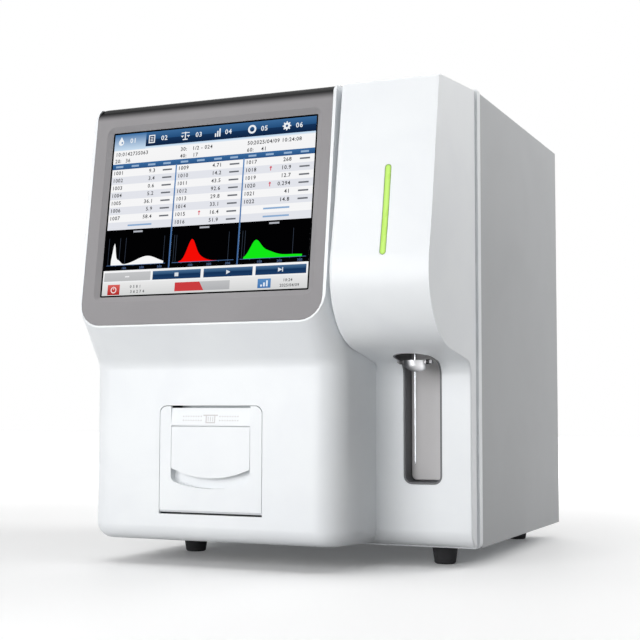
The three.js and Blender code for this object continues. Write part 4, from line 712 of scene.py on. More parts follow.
# Box in millimetres, colour or colours of its top and foot, and layer
BARS: tuple[tuple[Box, str, int], ...] = (
    ((0, 0, 211.2, 158.4), "#f4f5f6", 0),
    # Row of tabs, with the open one
    ((0, 0, 211.2, 7.4), "#3d6d9f #24507f", 1),
    ((0, 7.4, 211.2, 14.0), "#16355c #0f2444", 1),
    ((0, 14.0, 211.2, 16.3), "#b9d8f4 #eef5fc", 1),
    ((0, 0, 34.5, 16.2), f"{TAB} #cfe4f7", 2),
    # Icons: a sheet with lines, a balance and rising bars
    ((37.6, 3.2, 44.4, 11.2), ICON, 3), ((38.6, 4.2, 43.4, 10.2), "#17365d", 4),
    ((39.6, 5.4, 42.4, 6.1), ICON, 5), ((39.6, 7.0, 42.4, 7.7), ICON, 5),
    ((39.6, 8.6, 42.4, 9.3), ICON, 5),
    ((76.7, 3.2, 77.7, 10.8), ICON, 3), ((73.0, 3.8, 81.4, 4.6), ICON, 3),
    ((74.6, 10.2, 79.8, 11.2), ICON, 3),
    ((108.6, 7.6, 110.0, 11.0), ICON, 3), ((110.8, 5.4, 112.2, 11.0), ICON, 3),
    ((113.0, 3.2, 114.4, 11.0), ICON, 3),
    # Grounds of the rows below the tabs, of the columns' heads and of the buttons
    ((0, 16.3, 211.2, 29.7), "#fdfdfe #fbfbfc", 1),
    ((0, 29.7, 211.2, 35.2), "#3a6da4 #2c5688", 1),
    ((0, 134.4, 211.2, 146.0), "#fbfbfc #f7f8f9", 1),
    # Lines between the columns
    ((69.3, 34.2, 70.7, 134.4), "#5b8cc2 #41669a", 3),
    ((140.0, 34.2, 141.4, 134.4), "#5b8cc2 #41669a", 3),
    # Buttons and what is on them
    ((1.2, 136.5, 51.4, 144.8), "#c9cacc #bfc0c2", 2),
    ((53.7, 136.5, 104.2, 140.2), "#4d7299 #23476f", 2),
    ((53.7, 140.2, 104.2, 144.8), "#15335a #1d3e68", 2),
    ((107.1, 136.5, 156.9, 140.2), "#4d7299 #23476f", 2),
    ((107.1, 140.2, 156.9, 144.8), "#15335a #1d3e68", 2),
    ((159.8, 136.5, 209.5, 140.2), "#4d7299 #23476f", 2),
    ((159.8, 140.2, 209.5, 144.8), "#15335a #1d3e68", 2),
    ((24.0, 140.0, 28.6, 141.4), "#eeeff0", 3),
    ((77.0, 138.9, 81.0, 142.4), PALE, 3),
    ((186.0, 138.6, 186.9, 142.6), PALE, 3),
    # Status bar: its ground, power key, progress bar and signal
    ((0, 146.0, 211.2, 158.4), "#f0f0f0 #d9dada", 1),
    ((6.0, 148.0, 19.2, 157.8), "#e0655f #b3211f", 2),
    ((11.9, 149.4, 13.3, 153.2), "#cc4440", 4), ((12.3, 149.6, 12.9, 152.9), "#fdeeee", 5),
    ((78.0, 148.3, 134.6, 156.6), "#c5c6c8 #b4b5b8", 2),
    ((162.6, 148.3, 175.6, 156.8), "#5f92c8 #4377b4", 2),
    ((165.4, 153.6, 167.1, 155.4), GLYPH, 3), ((168.2, 151.8, 169.9, 155.4), GLYPH, 3),
    ((171.0, 150.0, 172.7, 155.4), GLYPH, 3),
)

# Corners, colour and layer: a drop's tip, the pans of the balance, arrows and the progress bar
PATCHES: tuple[tuple[tuple[Point, ...], str, int], ...] = (
    (((4.6, 7.0), (7.3, 2.6), (10.0, 7.0)), ICON, 3),
    (((72.3, 6.8), (75.7, 6.8), (74.0, 8.6)), ICON, 3),
    (((78.7, 6.8), (82.1, 6.8), (80.4, 8.6)), ICON, 3),
    (((130.4, 138.6), (134.6, 140.6), (130.4, 142.6)), PALE, 3),
    (((182.0, 138.6), (186.0, 140.6), (182.0, 142.6)), PALE, 3),
    (((78.0, 148.3), (103.4, 148.3), (108.2, 156.6), (78.0, 156.6)), "#cf3f42", 3),
)

# Middle, inner and outer radius, colour and layer: the drop, a ring, a cog's rim, the power key
RINGS: tuple[tuple[Point, float, float, str, int], ...] = (
    ((7.3, 8.2), 0, 3.0, ICON, 3), ((8.2, 8.4), 0, 0.9, TAB, 4), ((147.0, 7.0), 2.4, 4.2, ICON, 3),
    ((182.1, 6.9), 1.2, 3.2, ICON, 3), ((12.6, 153.1), 2.2, 3.1, "#fdeeee", 3),
)

# Text, right end and base line, height of a digit, colour and layer
NUMBERS: tuple[tuple[str, Point, float, str, int], ...] = (
    *((f"{count:02d}", (right, 9.3), 4.6, ICON, 3)
      for count, right in enumerate((24.0, 58.0, 95.0, 126.0, 163.0, 198.0), start=1)),
    *((text, (right, base), 3.6, INK, 2) for base, row in (
        (21.8, ((9.0, "10:"), (38.0, "0142735063"), (80.0, "30:"), (107.0, "1/2 - 024"),
                (150.0, "50:"), (197.7, "2025/04/09 10:24:08"))),
        (28.4, ((9.0, "20:"), (19.0, "36"), (80.0, "40:"), (92.0, "17"),
                (150.0, "60:"), (163.0, "41"))),
    ) for right, text in row),
    ("0 5 8 1", (42.0, 151.6), 2.6, "#55575c", 2), ("3 6 2 7 4", (46.0, 156.4), 2.6, "#55575c", 2),
    ("10:24", (196.6, 151.5), 2.6, "#44464a", 2), ("2025/04/09", (203.4, 156.3), 2.6, "#44464a", 2),
)

# Values in the rows of each column, and the column and row of those with an arrow
VALUES = (
    ("9.3", "3.4", "0.6", "5.2", "36.1", "5.9", "58.4", ""),
    ("4.71", "14.2", "43.5", "92.6", "29.8", "33.1", "16.4", "51.9"),
    ("268", "10.9", "12.7", "0.294", "41", "14.8", "", ""),
)
MARKED = {(1, 6), (2, 1), (2, 3)}


@dataclass
class ScreenPicture:
    """The lit picture: tabs, three columns of numbers, three histograms, buttons and a status bar.

    Places on it are in millimetres to the right and down from its top left corner, and a box is
    its left, top, right and bottom. Nothing on it is a word.

    Attributes:
        shop: Where the pieces are made.
        head: The display that it lies on.
        width: Width in millimetres.
        height: Height in millimetres.
        shift: How far its middle lies to the right of the display's middle.
        drop: How far its top edge lies below the display's.
        depth: How far the glass lies behind the display's front plane.
        border: Width of the black border round the picture.
        layer: Height of one layer over the next.
        strength: Brightness of a white on it.
        columns: Left and right end of each column.
        rows: Top of the first row, end of the last one and their pitch.
        row_base: From a row's top to its base line.
        row_digit: Height of a row's digits.
        first_row: Number of the first row.
        head_dash: Half width, top and foot of the dashes in the columns' heads.
        head_shares: Where they lie across a column.
        label_end: Right end of a row's number, from the column's start.
        value_end: Right end of a row's value.
        unit_box: Bar in place of a unit, from the column's start and the base line.
        link_box: Bar in a row without a value.
        mark_box: Shaft of an arrow.
        mark_tip: Tip of an arrow.
        chart_end: Foot of the histograms.
        chart_base: Their base line.
        chart_steps: Steps along a histogram.
        title_box: Bar in place of a histogram's title, from the column's start.
        mark_top: Head of the upright lines.
        mark_width: Their width.
        axis_width: Height of an axis.
        tick: Width and height of a tick on an axis.
        ticks: Ticks on an axis.
        tick_share: How many ticks would fill an axis.
        tick_value: What a tick adds to the number below it.
        tick_digits: Right end, base line and height of that number, from the tick.
        cog: Middle of the cog on the last tab.
        cog_teeth: Its teeth.
        tooth: Reach and half width at each corner of a tooth.
        ring_sides: Sides of a round ring.
        dots_to_metre: The display's dots to the metre.
        dot_span: Distances in a dot between which it darkens.
        dot_shade: How much it darkens there.
        digit_share: Height of a digit as a share of its font's size.
        glyph_weight: How far a digit's outline grows, as a share of its height.
        glyph_space: Distance of the digits as a share of the font's own.
    """

    shop: Workshop
    head: DisplayHead
    width: float = 211.2
    height: float = 158.4
    shift: float = 1.4
    drop: float = 26.5
    depth: float = 3.3
    border: float = 1.4
    layer: float = 0.02
    strength: float = 0.96
    columns: tuple[Point, ...] = ((0.0, 69.3), (70.7, 140.0), (141.4, 211.2))
    rows: tuple[float, float, float] = (35.2, 94.9, 7.46)
    row_base: float = 5.1
    row_digit: float = 3.6
    first_row: int = 1001
    head_dash: tuple[float, float, float] = (4.0, 31.6, 33.4)
    head_shares: tuple[float, ...] = (0.11, 0.36, 0.62, 0.86)
    label_end: float = 12.6
    value_end: float = 47.4
    unit_box: Box = (55.5, -2.2, 65.5, -0.7)
    link_box: Box = (22.0, -2.4, 48.0, -0.8)
    mark_box: Box = (26.7, -2.6, 27.5, 0.3)
    mark_tip: tuple[Point, ...] = ((25.6, -2.4), (27.1, -4.2), (28.6, -2.4))
    chart_end: float = 134.4
    chart_base: float = 129.2
    chart_steps: int = 60
    title_box: Box = (29.0, 96.6, 39.0, 98.2)
    mark_top: float = 103.0
    mark_width: float = 0.4
    axis_width: float = 0.5
    tick: Point = (0.4, 1.3)
    ticks: int = 6
    tick_share: float = 6.6
    tick_value: int = 50
    tick_digits: tuple[float, float, float] = (2.6, 4.3, 2.2)
    cog: Point = (182.1, 6.9)
    cog_teeth: int = 8
    tooth: tuple[Point, ...] = ((2.8, -0.7), (4.3, -0.5), (4.3, 0.5), (2.8, 0.7))
    ring_sides: int = 20
    dots_to_metre: float = 3800.0
    dot_span: Point = (0.0, 0.9)
    dot_shade: Point = (0.0, 0.05)
    digit_share: float = 0.7
    glyph_weight: float = 0.022
    glyph_space: float = 1.12
    vertices: list[Vector] = field(default_factory=list)
    faces: list[tuple[int, ...]] = field(default_factory=list)
    colours: list[Colour] = field(default_factory=list)

    def point(self, across: float, down: float, layer: int) -> Vector:
        """Turns a place on the picture into a point of the CAD model's frame.

        Args:
            across: Millimetres from the left edge.
            down: Millimetres from the top edge.
            layer: Layer above the glass.

        Returns:
            The point.
        """
        out = -self.depth + self.layer * (layer + 1)
        left = self.shift - self.width / 2
        return self.head.face.at((left + across) * MM, -(self.drop + down) * MM, out * MM)

    def patch(self, points: Sequence[Point], colours: str, layer: int) -> None:
        """Adds a flat patch to the picture.

        Args:
            points: Its corners, across and down, clockwise as they are seen.
            colours: Its colour code, or one for the first half of its corners and one for the rest.
            layer: Layer above the glass.
        """
        codes, count, first = colours.split(), len(points), len(self.vertices)
        self.vertices.extend(self.point(across, down, layer) for across, down in points)
        self.faces.append(tuple(reversed(range(first, first + count))))
        self.colours.extend(linear(codes[0 if k < count / 2 else -1]) for k in range(count))

    def bar(self, box: Box, colours: str, layer: int, start: Point = (0, 0)) -> None:
        """Adds an upright rectangle, whose box is measured from a start."""
        left, top, right, bottom = (value + start[k % 2] for k, value in enumerate(box))
        self.patch(oblong(left, top, right, bottom), colours, layer)

    def number(self, text: str, end: Point, height: float, colour: str, layer: int) -> None:
        """Adds digits from the outlines of Blender's own font.

        Args:
            text: Digits, points, colons or slashes.
            end: Right end and base line.
            height: Height of a digit.
            colour: Colour code.
            layer: Layer above the glass.
        """
        curve = bpy.data.curves.new("digits", "FONT")
        curve.body = text
        curve.resolution_u = 2
        curve.size = height / self.digit_share
        curve.offset = self.glyph_weight * height
        curve.space_character = self.glyph_space
        curve.align_x = "RIGHT"
        holder = bpy.data.objects.new("digits", curve)
        mesh, first, (right, base) = holder.to_mesh(), len(self.vertices), end
        places = (vertex.co for vertex in mesh.vertices)
        self.vertices.extend(self.point(right + co.x, base - co.y, layer) for co in places)
        self.faces.extend(tuple(first + k for k in face.vertices) for face in mesh.polygons)
        self.colours.extend([linear(colour)] * len(mesh.vertices))
        holder.to_mesh_clear()
        bpy.data.objects.remove(holder)
        bpy.data.curves.remove(curve)

    def ring(self, middle: Point, inner: float, outer: float, colour: str, layer: int) -> None:
        """Adds a round ring, or a disc where its inner radius is 0.

        Args:
            middle: Its middle.
            inner: Inner radius.
            outer: Outer radius.
            colour: Colour code.
            layer: Layer above the glass.
        """
        turns = [math.tau * k / self.ring_sides for k in range(self.ring_sides + 1)]
        for start, end in zip(turns, turns[1:]):
            corners = [
                (middle[0] + radius * math.cos(turn), middle[1] + radius * math.sin(turn))
                for radius, turn in ((inner, start), (outer, start), (outer, end), (inner, end))
            ]
            self.patch(corners if inner else corners[1:], colour, layer)

    def teeth(self) -> None:
        """Draws the teeth of the cog on the last tab."""
        for count in range(self.cog_teeth):
            turn = math.tau * count / self.cog_teeth
            x, y = math.cos(turn), math.sin(turn)
            corners = [
                (self.cog[0] + x * reach - y * half, self.cog[1] + y * reach + x * half)
                for reach, half in self.tooth
            ]
            self.patch(corners, ICON, 3)

    def table(self) -> None:
        """Draws the columns: dashes in their heads, striped rows, numbers and a few arrows."""
        first_top, end_of_rows, pitch = self.rows
        half, dash_top, dash_foot = self.head_dash
        for column, (start, end) in enumerate(self.columns):
            for share in self.head_shares:
                middle = start + (end - start) * share
                self.bar((middle - half, dash_top, middle + half, dash_foot), "#9db9d9", 2)
            for row, value in enumerate(VALUES[column]):
                top = first_top + row * pitch
                shade = "#e9ebf2" if row % 2 else "#fdfdfe"
                self.bar((start, top, end, min(top + pitch, end_of_rows)), shade, 1)
                base = top + self.row_base
                if not value:
                    self.bar(self.link_box, "#8fb0d6", 2, (start, base))
                    continue
                label = str(self.first_row + column * len(VALUES[0]) + row)
                for text, right in ((label, self.label_end), (value, self.value_end)):
                    self.number(text, (start + right, base), self.row_digit, "#24262a", 2)
                self.bar(self.unit_box, "#6d7077", 2, (start, base))
                if (column, row) in MARKED:
                    self.bar(self.mark_box, "#d8314a", 2, (start, base))
                    tip = [(start + across, base + down) for across, down in self.mark_tip]
                    self.patch(tip, "#d8314a", 2)

    def charts(self) -> None:
        """Draws the three histograms on black, with their axes and marks."""
        base = self.chart_base
        across, down, height = self.tick_digits
        for (start, end), chart in zip(self.columns, CHARTS):
            self.bar((start, self.rows[1], end, self.chart_end), "#020203", 1)
            self.bar(self.title_box, "#b9bcc4", 2, (start, 0))
            for left in chart.marks:
                self.bar((left, self.mark_top, left + self.mark_width, base), "#38414f", 2)
            near, far = chart.axis
            self.bar((near, base, far, base + self.axis_width), "#4f6f9d", 2)
            for count in range(1, self.ticks + 1):
                left = near + (far - near) * count / self.tick_share
                self.bar((0, 0, *self.tick), "#4f6f9d", 2, (left, base))
                if count % 2 == 0:
                    text = str(count * self.tick_value)
                    self.number(text, (left + across, base + down), height, "#57709a", 2)
            low, high = chart.span
            edge = []
            for step in range(self.chart_steps + 1):
                place = low + (high - low) * step / self.chart_steps
                rise = sum(
                    top * math.exp(-(((place - middle) / spread) ** 2) / 2)
                    for middle, spread, top in chart.humps)
                edge.append((place, base - rise))
            for left, right in zip(edge, edge[1:]):
                self.patch([left, right, (right[0], base), (left[0], base)], chart.colour, 3)

    def material(self) -> bpy.types.Material:
        """Makes the lit picture: colours from its corners, broken up by the display's fine dots.

        Returns:
            The material.
        """
        black = linear("#000000")
        material, shader = self.shop.paintbox.blank("lit_picture")
        tree = material.node_tree
        colours = add(tree, "ShaderNodeVertexColor", layer_name="picture").outputs["Color"]
        dots = add(tree, "ShaderNodeTexVoronoi", {
            "Vector": spot(tree), "Scale": self.dots_to_metre, "Randomness": 0.0})
        shade = ranged(tree, dots.outputs["Distance"], self.dot_span, self.dot_shade)
        feed(shader, {
            "Emission Color": mix(tree, shade, colours, black),
            "Emission Strength": self.strength,
            "Base Color": black,
            "Roughness": 0.5,
            "Specular IOR Level": 0.0,
        })
        return material

    def build(self) -> None:
        """Draws the whole picture as one piece on the glass."""
        edge, width, height = self.border, self.width, self.height
        for box in (
            (-edge, -edge, width + edge, 0), (-edge, height, width + edge, height + edge),
            (-edge, 0, 0, height), (width, 0, width + edge, height),
        ):
            self.bar(box, "#050506", 0)
        for draw, rows in (
            (self.bar, BARS), (self.patch, PATCHES), (self.ring, RINGS), (self.number, NUMBERS),
        ):
            for row in rows:
                draw(*row)
        self.teeth()
        self.table()
        self.charts()
        mesh = bpy.data.meshes.new("screen_picture")
        mesh.from_pydata([tuple(vertex) for vertex in self.vertices], [], self.faces)
        paint = mesh.color_attributes.new("picture", "FLOAT_COLOR", "POINT")
        paint.data.foreach_set("color", [value for colour in self.colours for value in colour])
        self.shop.piece("screen_picture", mesh, "cabinet", self.material())


@dataclass
class StatusLight:
    """The slim lit lens in the column and the board behind it.

    Attributes:
        shop: Where the pieces are made.
        edge: Radius of the edges.
        core: Colour along the middle line.
        rim: Colour at the sides.
        seal: Colour of the seal round the lens.
        body: Colour of the lens where it isn't lit.
        seal_width: Width of the seal.
        strength: Brightness of the light.
    """

    shop: Workshop
    edge: float = 0.3 * MM
    core: str = "#d2fa74"
    rim: str = "#b2e653"
    seal: str = "#7d964c"
    body: str = "#3c5a10"
    seal_width: float = 0.6 * MM
    strength: float = 0.8

    def material(self) -> bpy.types.Material:
        """Makes the lit green, brightest along the middle line, with the dark line of the seal.

        Returns:
            The material.
        """
        low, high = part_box("status_light_lens")
        half = (high[0] - low[0]) / 2
        finish = Finish("light_green", self.core, self.rim, 0.3, Texture.POLISHED)
        material, shader, _ = self.shop.paintbox.textured(finish)
        tree = material.node_tree
        place = add(tree, "ShaderNodeSeparateXYZ", {"Vector": spot(tree)}).outputs
        ends = {"Value": place["Z"], "Min": low[2] + half, "Max": high[2] - half}
        line = add(tree, "ShaderNodeClamp", ends).outputs["Result"]
        away = add(tree, "ShaderNodeCombineXYZ", {
            "X": calc(tree, "SUBTRACT", place["X"], (low[0] + high[0]) / 2),
            "Z": calc(tree, "SUBTRACT", place["Z"], line),
        }).outputs["Vector"]
        reach = add(tree, "ShaderNodeVectorMath", {0: away}, operation="LENGTH").outputs["Value"]
        spread = ranged(tree, reach, (0, half), soft=True)
        seal = ranged(tree, reach, (half - self.seal_width, half - self.seal_width / 2), soft=True)
        glow = mix(tree, spread, linear(self.core), linear(self.rim))
        feed(shader, {
            "Emission Color": mix(tree, seal, glow, linear(self.seal)),
            "Emission Strength": self.strength,
            "Base Color": linear(self.body),
        })
        return material

    def build(self) -> None:
        """Dresses the lens and its board."""
        self.shop.dress("status_light_lens", self.material(), self.edge)
        self.shop.dress("status_led_board", "board_green")


@dataclass
class ProbeBay:
    """The recess with the aspirate key, the needle and its wipe block, whose arms carry sleeves.

    Attributes:
        shop: Where the pieces are made.
        edge: Radius of the edges.
        sleeve: Near and far end of a sleeve, from the middle of the block.
        sleeve_half: Half the depth of a sleeve.
        sleeve_rise: Foot and head of a sleeve, from the top of the block's arms.
        corner: Cut of a sleeve's corners.
        painted_shine_stops: Place across the block and colour of the steel there, a painted
            highlight right of the middle and painted shade towards the sides.
    """

    shop: Workshop
    edge: float = 0.4 * MM
    sleeve: tuple[float, float] = (10.9 * MM, 14.3 * MM)
    sleeve_half: float = 3.1 * MM
    sleeve_rise: tuple[float, float] = (-3.6 * MM, 0.5 * MM)
    corner: float = 0.8 * MM
    # Painted highlight and painted shade: steel colours across the block, bright right of the
    # middle, dark at both sides
    painted_shine_stops: tuple[tuple[float, str], ...] = (
        (0.16, "#4c4c4e"), (0.5, "#9a9a9c"), (0.76, "#f4f4f6"), (0.86, "#6c6c6e"))

    def steel(self) -> bpy.types.Material:
        """Makes the ground steel of the block, with a painted highlight and painted shade across
        it.

        Returns:
            The material.
        """
        low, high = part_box("probe_wipe_block")
        finish = Finish("block_steel_painted_shine", "#d4d7da", "#c3c7cb", 0.36, Texture.BRUSHED, metallic=1.0)
        material, shader, _ = self.shop.paintbox.textured(finish)
        tree = material.node_tree
        place = add(tree, "ShaderNodeSeparateXYZ", {"Vector": spot(tree)}).outputs["X"]
        across = ranged(tree, place, (low[0], high[0]))
        # Painted highlight and painted shade, from colour stops across the block
        ramp = add(tree, "ShaderNodeValToRGB", {"Fac": across})
        stops = ramp.color_ramp.elements
        while len(stops) < len(self.painted_shine_stops):
            stops.new(1.0)
        for stop, (share, colour) in zip(stops, self.painted_shine_stops):
            stop.position = share
            stop.color = linear(colour)
        feed(shader, {"Base Color": ramp.outputs["Color"]})
        return material

    def sleeves(self, solid: Solid) -> None:
        """Adds the sleeves on the two arms of the block to a mesh.

        Args:
            solid: The mesh.
        """
        low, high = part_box("probe_wipe_block")
        top = Vector(((low[0] + high[0]) / 2, (low[1] + high[1]) / 2, high[2]))
        foot, head = self.sleeve_rise
        half, cut = self.sleeve_half, self.corner
        outline = [
            (-half + cut, foot), (half - cut, foot), (half, foot + cut), (half, head - cut),
            (half - cut, head), (-half + cut, head), (-half, head - cut), (-half, foot + cut),
        ]
        near, far = self.sleeve
        for start, end in ((near, far), (-far, -near)):
            Workshop.slab(solid, outline, start, end, Face(top, REAR, UP, RIGHT).matrix())

    def build(self) -> None:
        """Dresses the liner, the key, the needle and the wipe block, and sets the sleeves."""
        self.shop.dress("probe_bay_liner", "bay_grey", self.edge)
        self.shop.dress("aspirate_key", "key_grey", self.edge)
        self.shop.dress("sample_probe", "bright_steel")
        self.shop.dress("probe_wipe_block", self.steel(), self.edge)
        self.shop.make("wipe_sleeves", self.sleeves, "cabinet", "black_plastic", self.corner / 4)


@dataclass
class PrinterDoor:
    """The printer door with its lever flap, and the paper path behind it.

    Attributes:
        shop: Where the pieces are made.
        edge: Radius of the edges.
        middle: X of the strip's middle.
        strip_foot: Z of the lower edge of the strip above the flap.
        strip_slope: How far the strip sinks for its height.
        rise: How far the marks are sunk into the strip, and the height of a dot's top over it.
        shoulder: Height of a dot's shoulder as a share of that.
        line_rise: Height of a line as a share of that.
        dot: Radius of a raised dot.
        dot_sides: Faces round a dot.
        dot_pitch: Distance between dots.
        first_dot: How far the first dot lies from the middle.
        dots_to_a_row: Dots on each side of the middle.
        dot_rows: Z of the two rows.
        roll_lines: Left, foot, right and head of each line of the roll's outline, in millimetres.
    """

    shop: Workshop
    edge: float = 0.3 * MM
    middle: float = -45.45 * MM
    strip_foot: float = 129.3 * MM
    strip_slope: float = 2.6 / 23.8
    rise: float = 0.3 * MM
    shoulder: float = 0.6
    line_rise: float = 0.5
    dot: float = 0.62 * MM
    dot_sides: int = 10
    dot_pitch: float = 2.62 * MM
    first_dot: float = 9.65 * MM
    dots_to_a_row: int = 8
    dot_rows: tuple[float, float] = (137.8 * MM, 134.1 * MM)
    roll_lines: tuple[Box, ...] = (
        (-7.4, 2.2, 7.4, 3.4), (-4.9, -3.6, -3.9, 2.2), (3.9, -3.6, 4.9, 2.2),
        (-4.9, -4.4, 4.9, -3.4), (-2.7, -2.8, -2.0, 1.4), (-0.35, -2.8, 0.35, 1.4),
        (2.0, -2.8, 2.7, 1.4))

    @property
    def strip(self) -> Face:
        """The strip above the flap, which sinks towards the paper slot, from its lower edge."""
        front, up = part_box("door_lever")[0][1], Vector((0, self.strip_slope, 1)).normalized()
        return Face(Vector((self.middle, front, self.strip_foot)), RIGHT, up, RIGHT.cross(up))

    def marks(self, solid: Solid) -> None:
        """Adds the raised dots and the outline of a paper roll to a mesh.

        Args:
            solid: The mesh.
        """
        strip, rise = self.strip, self.rise
        profile = [(self.dot, -rise), (self.dot, rise * self.shoulder), (0, rise)]
        for height in self.dot_rows:
            up = (height - self.strip_foot) / strip.up.z
            for side in (-1, 1):
                for count in range(self.dots_to_a_row):
                    across = side * (self.first_dot + count * self.dot_pitch)
                    Workshop.turned(solid, profile, self.dot_sides, strip.matrix(across, up))
        middle = (sum(self.dot_rows) / 2 - self.strip_foot) / strip.up.z
        for line in self.roll_lines:
            outline = oblong(*(value * MM for value in line))
            top = rise * self.line_rise
            Workshop.slab(solid, outline, -rise, top, strip.matrix(0, middle))

    def build(self) -> None:
        """Dresses the door and what is behind it, and sets the marks on its strip."""
        for node, finish, radius in (
            ("printer_door", "white_moulding", self.edge),
            ("door_lever", "white_moulding", self.edge),
            ("printer_bucket", "dark_plastic", self.edge),
            ("platen_roller", "roller_rubber", 0),
            ("paper_roll", "paper_white", 0),
            ("print_head", "zinc_sheet", 0),
        ):
            self.shop.dress(node, finish, radius)
        self.shop.make("door_marks", self.marks, "printer_door_panel", "key_grey")


@dataclass
class Sockets:
    """The inserts and contacts of the data sockets in the rear panel.

    Attributes:
        shop: Where the pieces are made.
        serial_reach: How far the serial socket's screws stand out past the panel.
        insert: Half of the serial insert's foot, half of its top, half of its height.
        insert_span: Back and front of the insert, past the panel.
        pins: How many pins each row has, from the upper row down.
        pin: Radius of a pin.
        pin_sides: Faces round a pin.
        pin_end: Front of the pins, past the panel.
        pin_pitch: Distance between pins, along a row and between the rows.
        tongue: Half the width of a USB tongue's cover, and its foot and head in the slot.
        tongue_span: Back and front of the cover, from the socket's front.
        slots: How far a USB slot's middle lies from the socket's.
        strips: How many contacts the network socket has.
        strip: Width and thickness of a contact.
        strip_pitch: Distance between them.
        strip_rise: Height of their foot over the socket's middle.
        strip_span: Back and front of them, from the socket's front.
    """

    shop: Workshop
    serial_reach: float = 7.0 * MM
    insert: tuple[float, float, float] = (5.4 * MM, 7.2 * MM, 3.2 * MM)
    insert_span: tuple[float, float] = (1.8 * MM, 3.2 * MM)
    pins: tuple[int, int] = (5, 4)
    pin: float = 0.5 * MM
    pin_sides: int = 10
    pin_end: float = 5.3 * MM
    pin_pitch: tuple[float, float] = (2.77 * MM, 2.84 * MM)
    tongue: tuple[float, float, float] = (5.15 * MM, 0.45 * MM, 2.5 * MM)
    tongue_span: tuple[float, float] = (-8.5 * MM, -1.0 * MM)
    slots: float = 3.8 * MM
    strips: int = 8
    strip: tuple[float, float] = (0.5 * MM, 0.3 * MM)
    strip_pitch: float = 1.02 * MM
    strip_rise: float = 4.1 * MM
    strip_span: tuple[float, float] = (-9.0 * MM, -1.2 * MM)

    @staticmethod
    def front(node: str, back: float = 0) -> Face:
        """Gives the rear-facing front of a socket.

        Args:
            node: Name of its CAD node.
            back: How far behind the front the face lies.

        Returns:
            The face, from the socket's middle.
        """
        low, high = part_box(node)
        middle = Vector(((low[0] + high[0]) / 2, high[1] - back, (low[2] + high[2]) / 2))
        return Face(middle, -RIGHT, UP, REAR)

    def inserts(self, solid: Solid) -> None:
        """Adds the serial socket's insert and the covers of the USB tongues to a mesh.

        Args:
            solid: The mesh.
        """
        foot, top, half = self.insert
        outline = [(-foot, -half), (foot, -half), (top, half), (-top, half)]
        serial, usb = self.front("serial_port", self.serial_reach), self.front("usb_socket")
        Workshop.slab(solid, outline, *self.insert_span, serial.matrix())
        width, low, high = self.tongue
        for up in (-self.slots, self.slots):
            outline = oblong(-width, low, width, high)
            Workshop.slab(solid, outline, *self.tongue_span, usb.matrix(0, up))

    def contacts(self, solid: Solid) -> None:
        """Adds the serial socket's pins and the network socket's contacts to a mesh.

        Args:
            solid: The mesh.
        """
        serial, network = self.front("serial_port", self.serial_reach), self.front("network_socket")
        along, between = self.pin_pitch
        pin, end = self.pin, self.pin_end
        profile = [(pin, self.insert_span[0]), (pin, end - pin), (pin / 2, end)]
        for count, up in zip(self.pins, (between / 2, -between / 2)):
            for k in range(count):
                place = serial.matrix((k - (count - 1) / 2) * along, up)
                Workshop.turned(solid, profile, self.pin_sides, place)
        width, thickness = self.strip
        outline = oblong(-width / 2, 0, width / 2, thickness)
        for k in range(self.strips):
            place = network.matrix((k - (self.strips - 1) / 2) * self.strip_pitch, self.strip_rise)
            Workshop.slab(solid, outline, *self.strip_span, place)

    def build(self) -> None:
        """Makes the two pieces."""
        self.shop.make("socket_inserts", self.inserts, "cabinet", "black_plastic")
        self.shop.make("socket_contacts", self.contacts, "cabinet", "brass")


@dataclass
class Cabinet:
    """The sheet-metal cabinet: panels, cover, tray, rear panel, feet and all that it holds.

    Attributes:
        shop: Where the pieces are made.
        sheet_edge: Radius of the edges of the outer sheets.
        part_edge: Radius of the edges of the feet, the power inlet, its switch and the fan's frame.
        small_edge: Radius of all other edges.
        screw_head: Radius and height of each ring of a screw's head.
        screw_sides: Faces round a head.
        screw_inset: How far the screws lie from the rear panel's edge.
        screw_pitch: Distance between the screws along an edge.
        fan_pitch: Distance between the screws of the fan.
    """

    shop: Workshop
    sheet_edge: float = 0.5 * MM
    part_edge: float = 0.3 * MM
    small_edge: float = 0.2 * MM
    screw_head: tuple[Point, ...] = (
        (3.1 * MM, -0.2 * MM), (3.1 * MM, 0.8 * MM), (2.6 * MM, 1.5 * MM), (1.4 * MM, 1.9 * MM),
        (1.2 * MM, 0.9 * MM), (0, 0.7 * MM))
    screw_sides: int = 16
    screw_inset: float = 9.0 * MM
    screw_pitch: float = 132.0 * MM
    fan_pitch: float = 71.5 * MM

    def screws(self, solid: Solid) -> None:
        """Adds the heads of the screws along the rear panel's edge and round the fan to a mesh.

        Args:
            solid: The mesh.
        """
        low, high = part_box("rear_panel")
        rear = Face(Vector((0, high[1], low[2])), -RIGHT, UP, REAR)
        width, height = high[0] - self.screw_inset, high[2] - low[2]
        half, foot, head = self.screw_pitch / 2, self.screw_inset, height - self.screw_inset
        places = [
            *((side * width, up) for side in (-1, 1)
              for up in (foot, height / 2 - half, height / 2 + half, head)),
            *((side * half, up) for side in (-1, 1) for up in (foot, head)),
        ]
        fan_low, fan_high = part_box("fan_frame")
        across, up = -(fan_low[0] + fan_high[0]) / 2, (fan_low[2] + fan_high[2]) / 2 - low[2]
        reach = self.fan_pitch / 2
        places += [(across + x * reach, up + z * reach) for x in (-1, 1) for z in (-1, 1)]
        for place in places:
            Workshop.turned(solid, self.screw_head, self.screw_sides, rear.matrix(*place))

    def build(self) -> None:
        """Sets the screws of the rear panel and dresses every node that no other class dresses."""
        self.shop.make("rear_screws", self.screws, "cabinet", "zinc_sheet")
        sheets = ("right_side_panel", "left_side_panel", "top_cover")
        parts = (
            "foot_front_left", "foot_front_right", "foot_rear_left", "foot_rear_right",
            "power_inlet", "power_switch", "fan_frame")
        edges = {
            "fan_rotor": 0,
            **dict.fromkeys(sheets, self.sheet_edge),
            **dict.fromkeys(parts, self.part_edge),
        }
        for name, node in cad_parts.items():
            if not node.modifiers:
                slot = node.material_slots[0].material.name
                self.shop.dress(name, slot, edges.get(name, self.small_edge))


